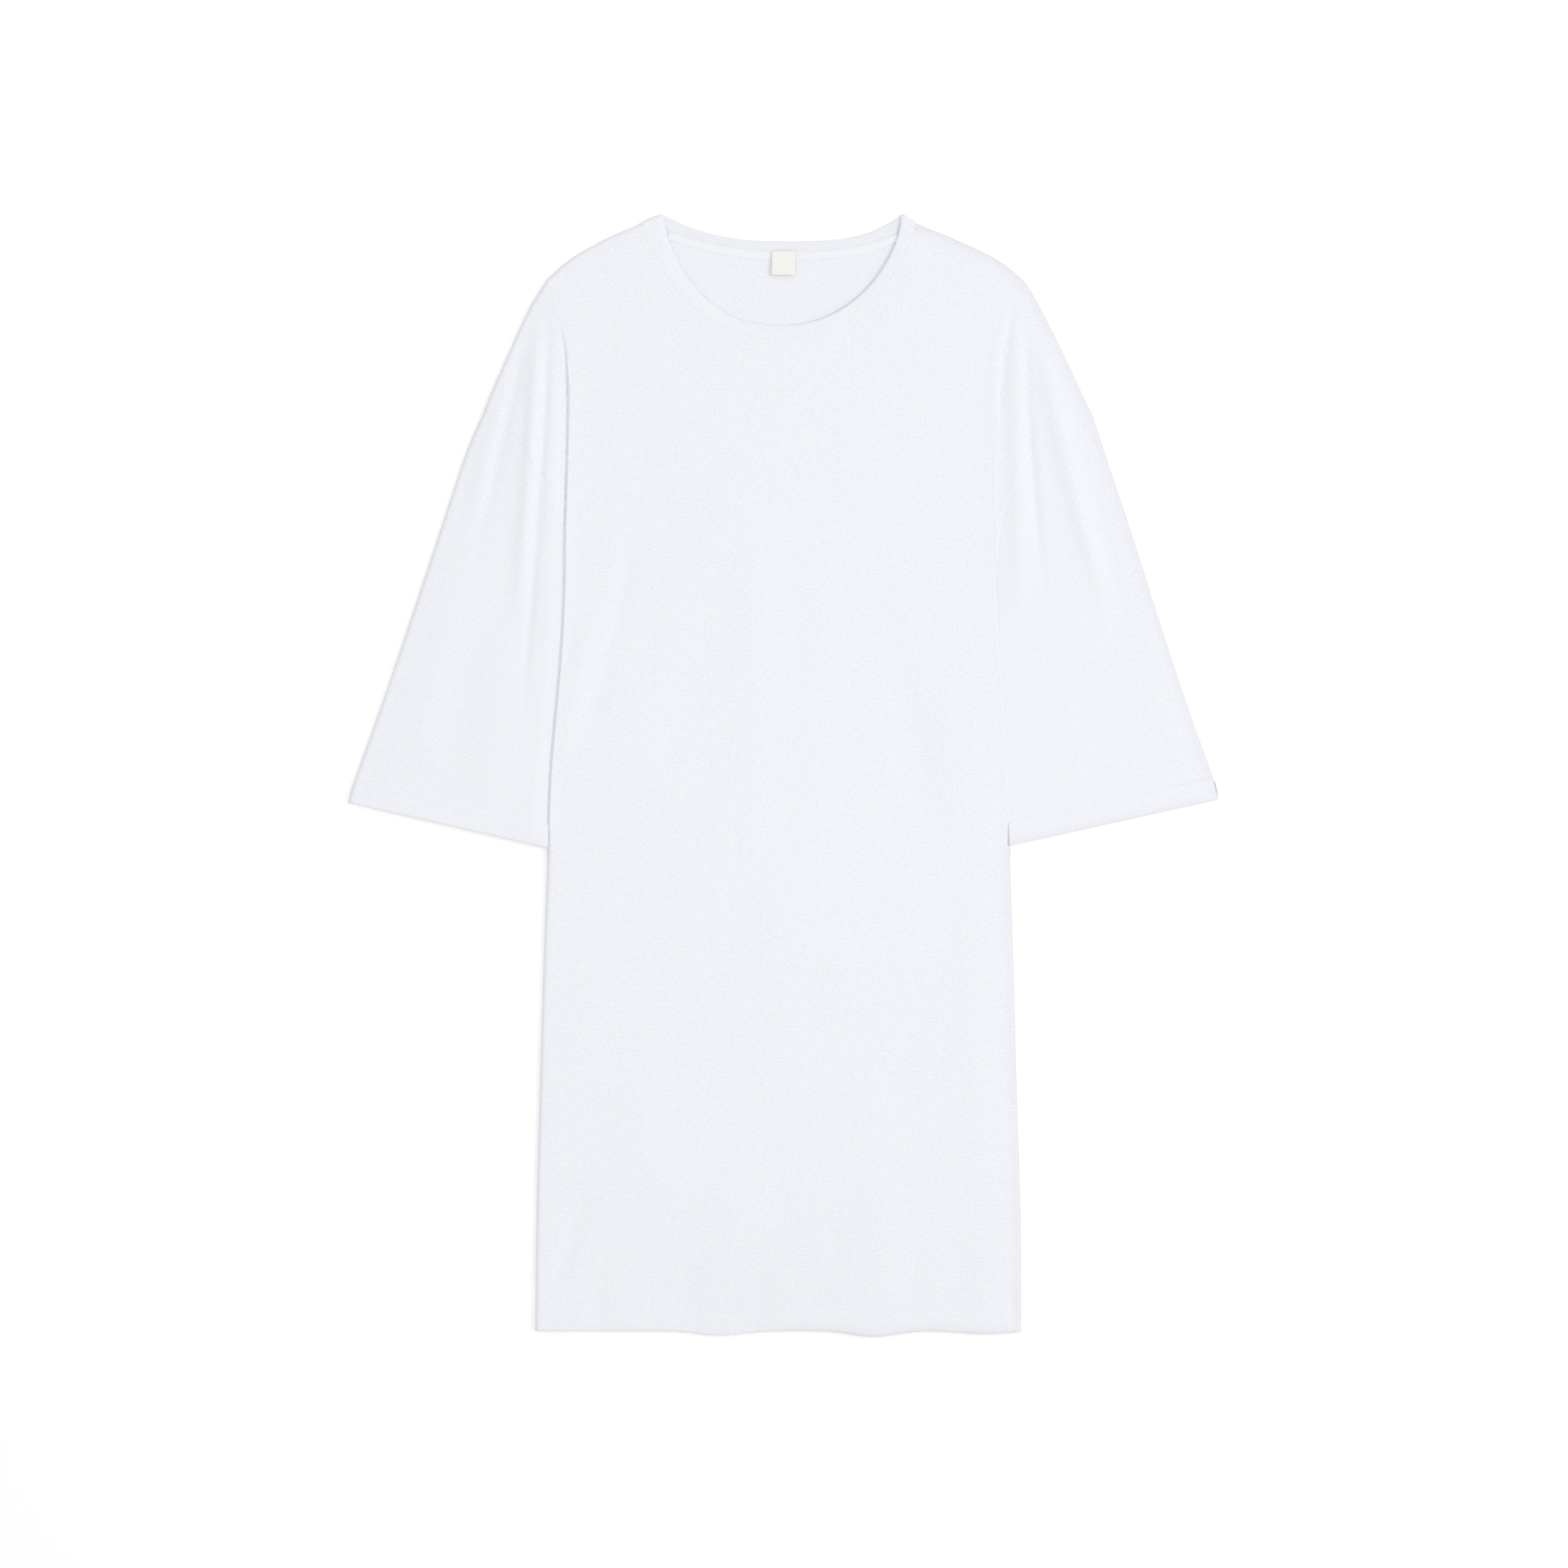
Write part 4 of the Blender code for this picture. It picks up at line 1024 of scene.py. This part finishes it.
def twill(name, values):
    material, shader, coords = newFinish(name, 0.85, 0.1)
    u, v = split(coords)
    ribs = wave(u + v * 0.8, values["rib"]) * 0.5 + 0.5
    threads = wave(v, values["thread"]) * 0.5 + 0.5
    patchy = noise(coords, 260, 2)
    height = ribs * 0.00008 + threads * 0.00003 + patchy * 0.00004
    # darker in the grooves between the ribs and lighter on their tops: painted shade and highlight; the
    # patches are the tape's own uneven tone
    colour = (ribs * 0.6 + patchy * 0.4).mix((*values["dark"], 1), (*values["light"], 1))
    join(shader, colour, height)
    return material


tapeTwill = twill("whiteTwill", {
    "rib": 0.0011, "thread": 0.0005, "dark": (0.79, 0.798, 0.838), "light": (0.835, 0.843, 0.88),
})


def wovenFace(name, values):   # plain woven label with a thin line down each side
    material, shader, coords = newFinish(name, 0.7, 0.1)
    u, v = split(coords)
    threads = wave(u, values["warp"]) * 0.5 + 0.5
    picks = wave(v, values["weft"]) * 0.5 + 0.5
    patchy = noise(coords, 300, 2)
    fromLine = (u.maths("ABSOLUTE") - values["line"]).maths("ABSOLUTE")
    sideLine = fromLine.maths("LESS_THAN", values["lineHalf"])
    # darker between the weft threads and lighter on them: painted shade and highlight; the patches are the
    # label's own uneven tone
    colour = (picks * 0.5 + patchy * 0.5).mix((*values["dark"], 1), (*values["light"], 1))
    colour = (sideLine * 0.55).mix(colour, (*values["edge"], 1))
    join(shader, colour, threads * 0.00003 + picks * 0.00005 + patchy * 0.00002)
    return material


labelWeave = wovenFace("creamWoven", {
    "warp": 0.00034, "weft": 0.0004, "line": 0.0086, "lineHalf": 0.0003,
    "dark": (0.865, 0.85, 0.815), "light": (0.91, 0.895, 0.865), "edge": (0.79, 0.775, 0.74),
})


def thread(name, colour):
    material, shader, _ = newFinish(name, 0.75, 0.1)
    place = Wire(material.node_tree, None).node("ShaderNodeTexCoord", {}, {}, 3)
    twist = noise(place, 1500, 2)
    tone = twist.mix((*[c * 0.93 for c in colour], 1), (*colour, 1))
    join(shader, tone, twist * 0.00008)
    return material


sewingThread = thread("whiteThread", (0.94, 0.945, 0.965))

for pieces, material, slotName in (
    ([frontPanel, backPanel, sleeveLeft, sleeveRight], jersey, "jersey"),
    ([neckBand], ribbed, "band"),
    ([neckTape], tapeTwill, "tape"),
    ([wovenLabel], labelWeave, "label"),
    (sewing, sewingThread, "jersey"),
):
    for piece in pieces:
        piece.data.materials.clear()
        piece.data.materials.append(material)
        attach(piece, "root")
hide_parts("front")
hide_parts("back")
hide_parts("sleeve_left")
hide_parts("sleeve_right")
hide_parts("neckband")
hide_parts("neck_tape")
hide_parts("label")
print("materials and frame calls done")

# floor, light and camera
studio = {
    "floor": (0.98, 0.98, 0.98), "world": 0.738, "lens": 90.35, "height": 3.2, "aim": (0.00066, -0.00732),
    "overhead": {"place": (0.1, 0.1, 2.4), "size": 1.2, "power": 14.3},
    "key": {"place": (5.2, 0.5, 4.1), "size": 2.2, "power": 93.0},
}
bpy.ops.object.select_all(action="DESELECT")
bpy.ops.mesh.primitive_plane_add(size=14, location=(0, 0, -0.0001))
floor = bpy.context.object
floor.name = "floor"
floorFinish = bpy.data.materials.new("paleFloor")
floorFinish.use_nodes = True
floorShader = floorFinish.node_tree.nodes["Principled BSDF"]
floorShader.inputs["Base Color"].default_value = (*studio["floor"], 1)
floorShader.inputs["Roughness"].default_value = 1.0
floorShader.inputs["Specular IOR Level"].default_value = 0.0
floor.data.materials.append(floorFinish)

world = bpy.context.scene.world or bpy.data.worlds.new("studio")
bpy.context.scene.world = world
world.use_nodes = True
background = world.node_tree.nodes["Background"]
background.inputs[0].default_value = (1, 1, 1, 1)
background.inputs[1].default_value = studio["world"]


def softLight(name, place, size, power):   # a square softbox that faces the dress
    light = bpy.data.lights.new(name, "AREA")
    light.shape = "SQUARE"
    light.size = size
    light.energy = power
    lamp = bpy.data.objects.new(name, light)
    lamp.location = place
    lamp.rotation_euler = (-Vector(place)).to_track_quat("-Z", "Y").to_euler()
    lamp.visible_camera = False
    bpy.context.collection.objects.link(lamp)


softLight("overhead", **studio["overhead"])
softLight("key", **studio["key"])

camera = bpy.data.cameras.new("camera")
camera.lens = studio["lens"]
camera.sensor_width = 36
eye = bpy.data.objects.new("camera", camera)
eye.location = (*studio["aim"], studio["height"])
bpy.context.collection.objects.link(eye)
bpy.context.scene.camera = eye
bpy.context.scene.view_settings.view_transform = "Standard"
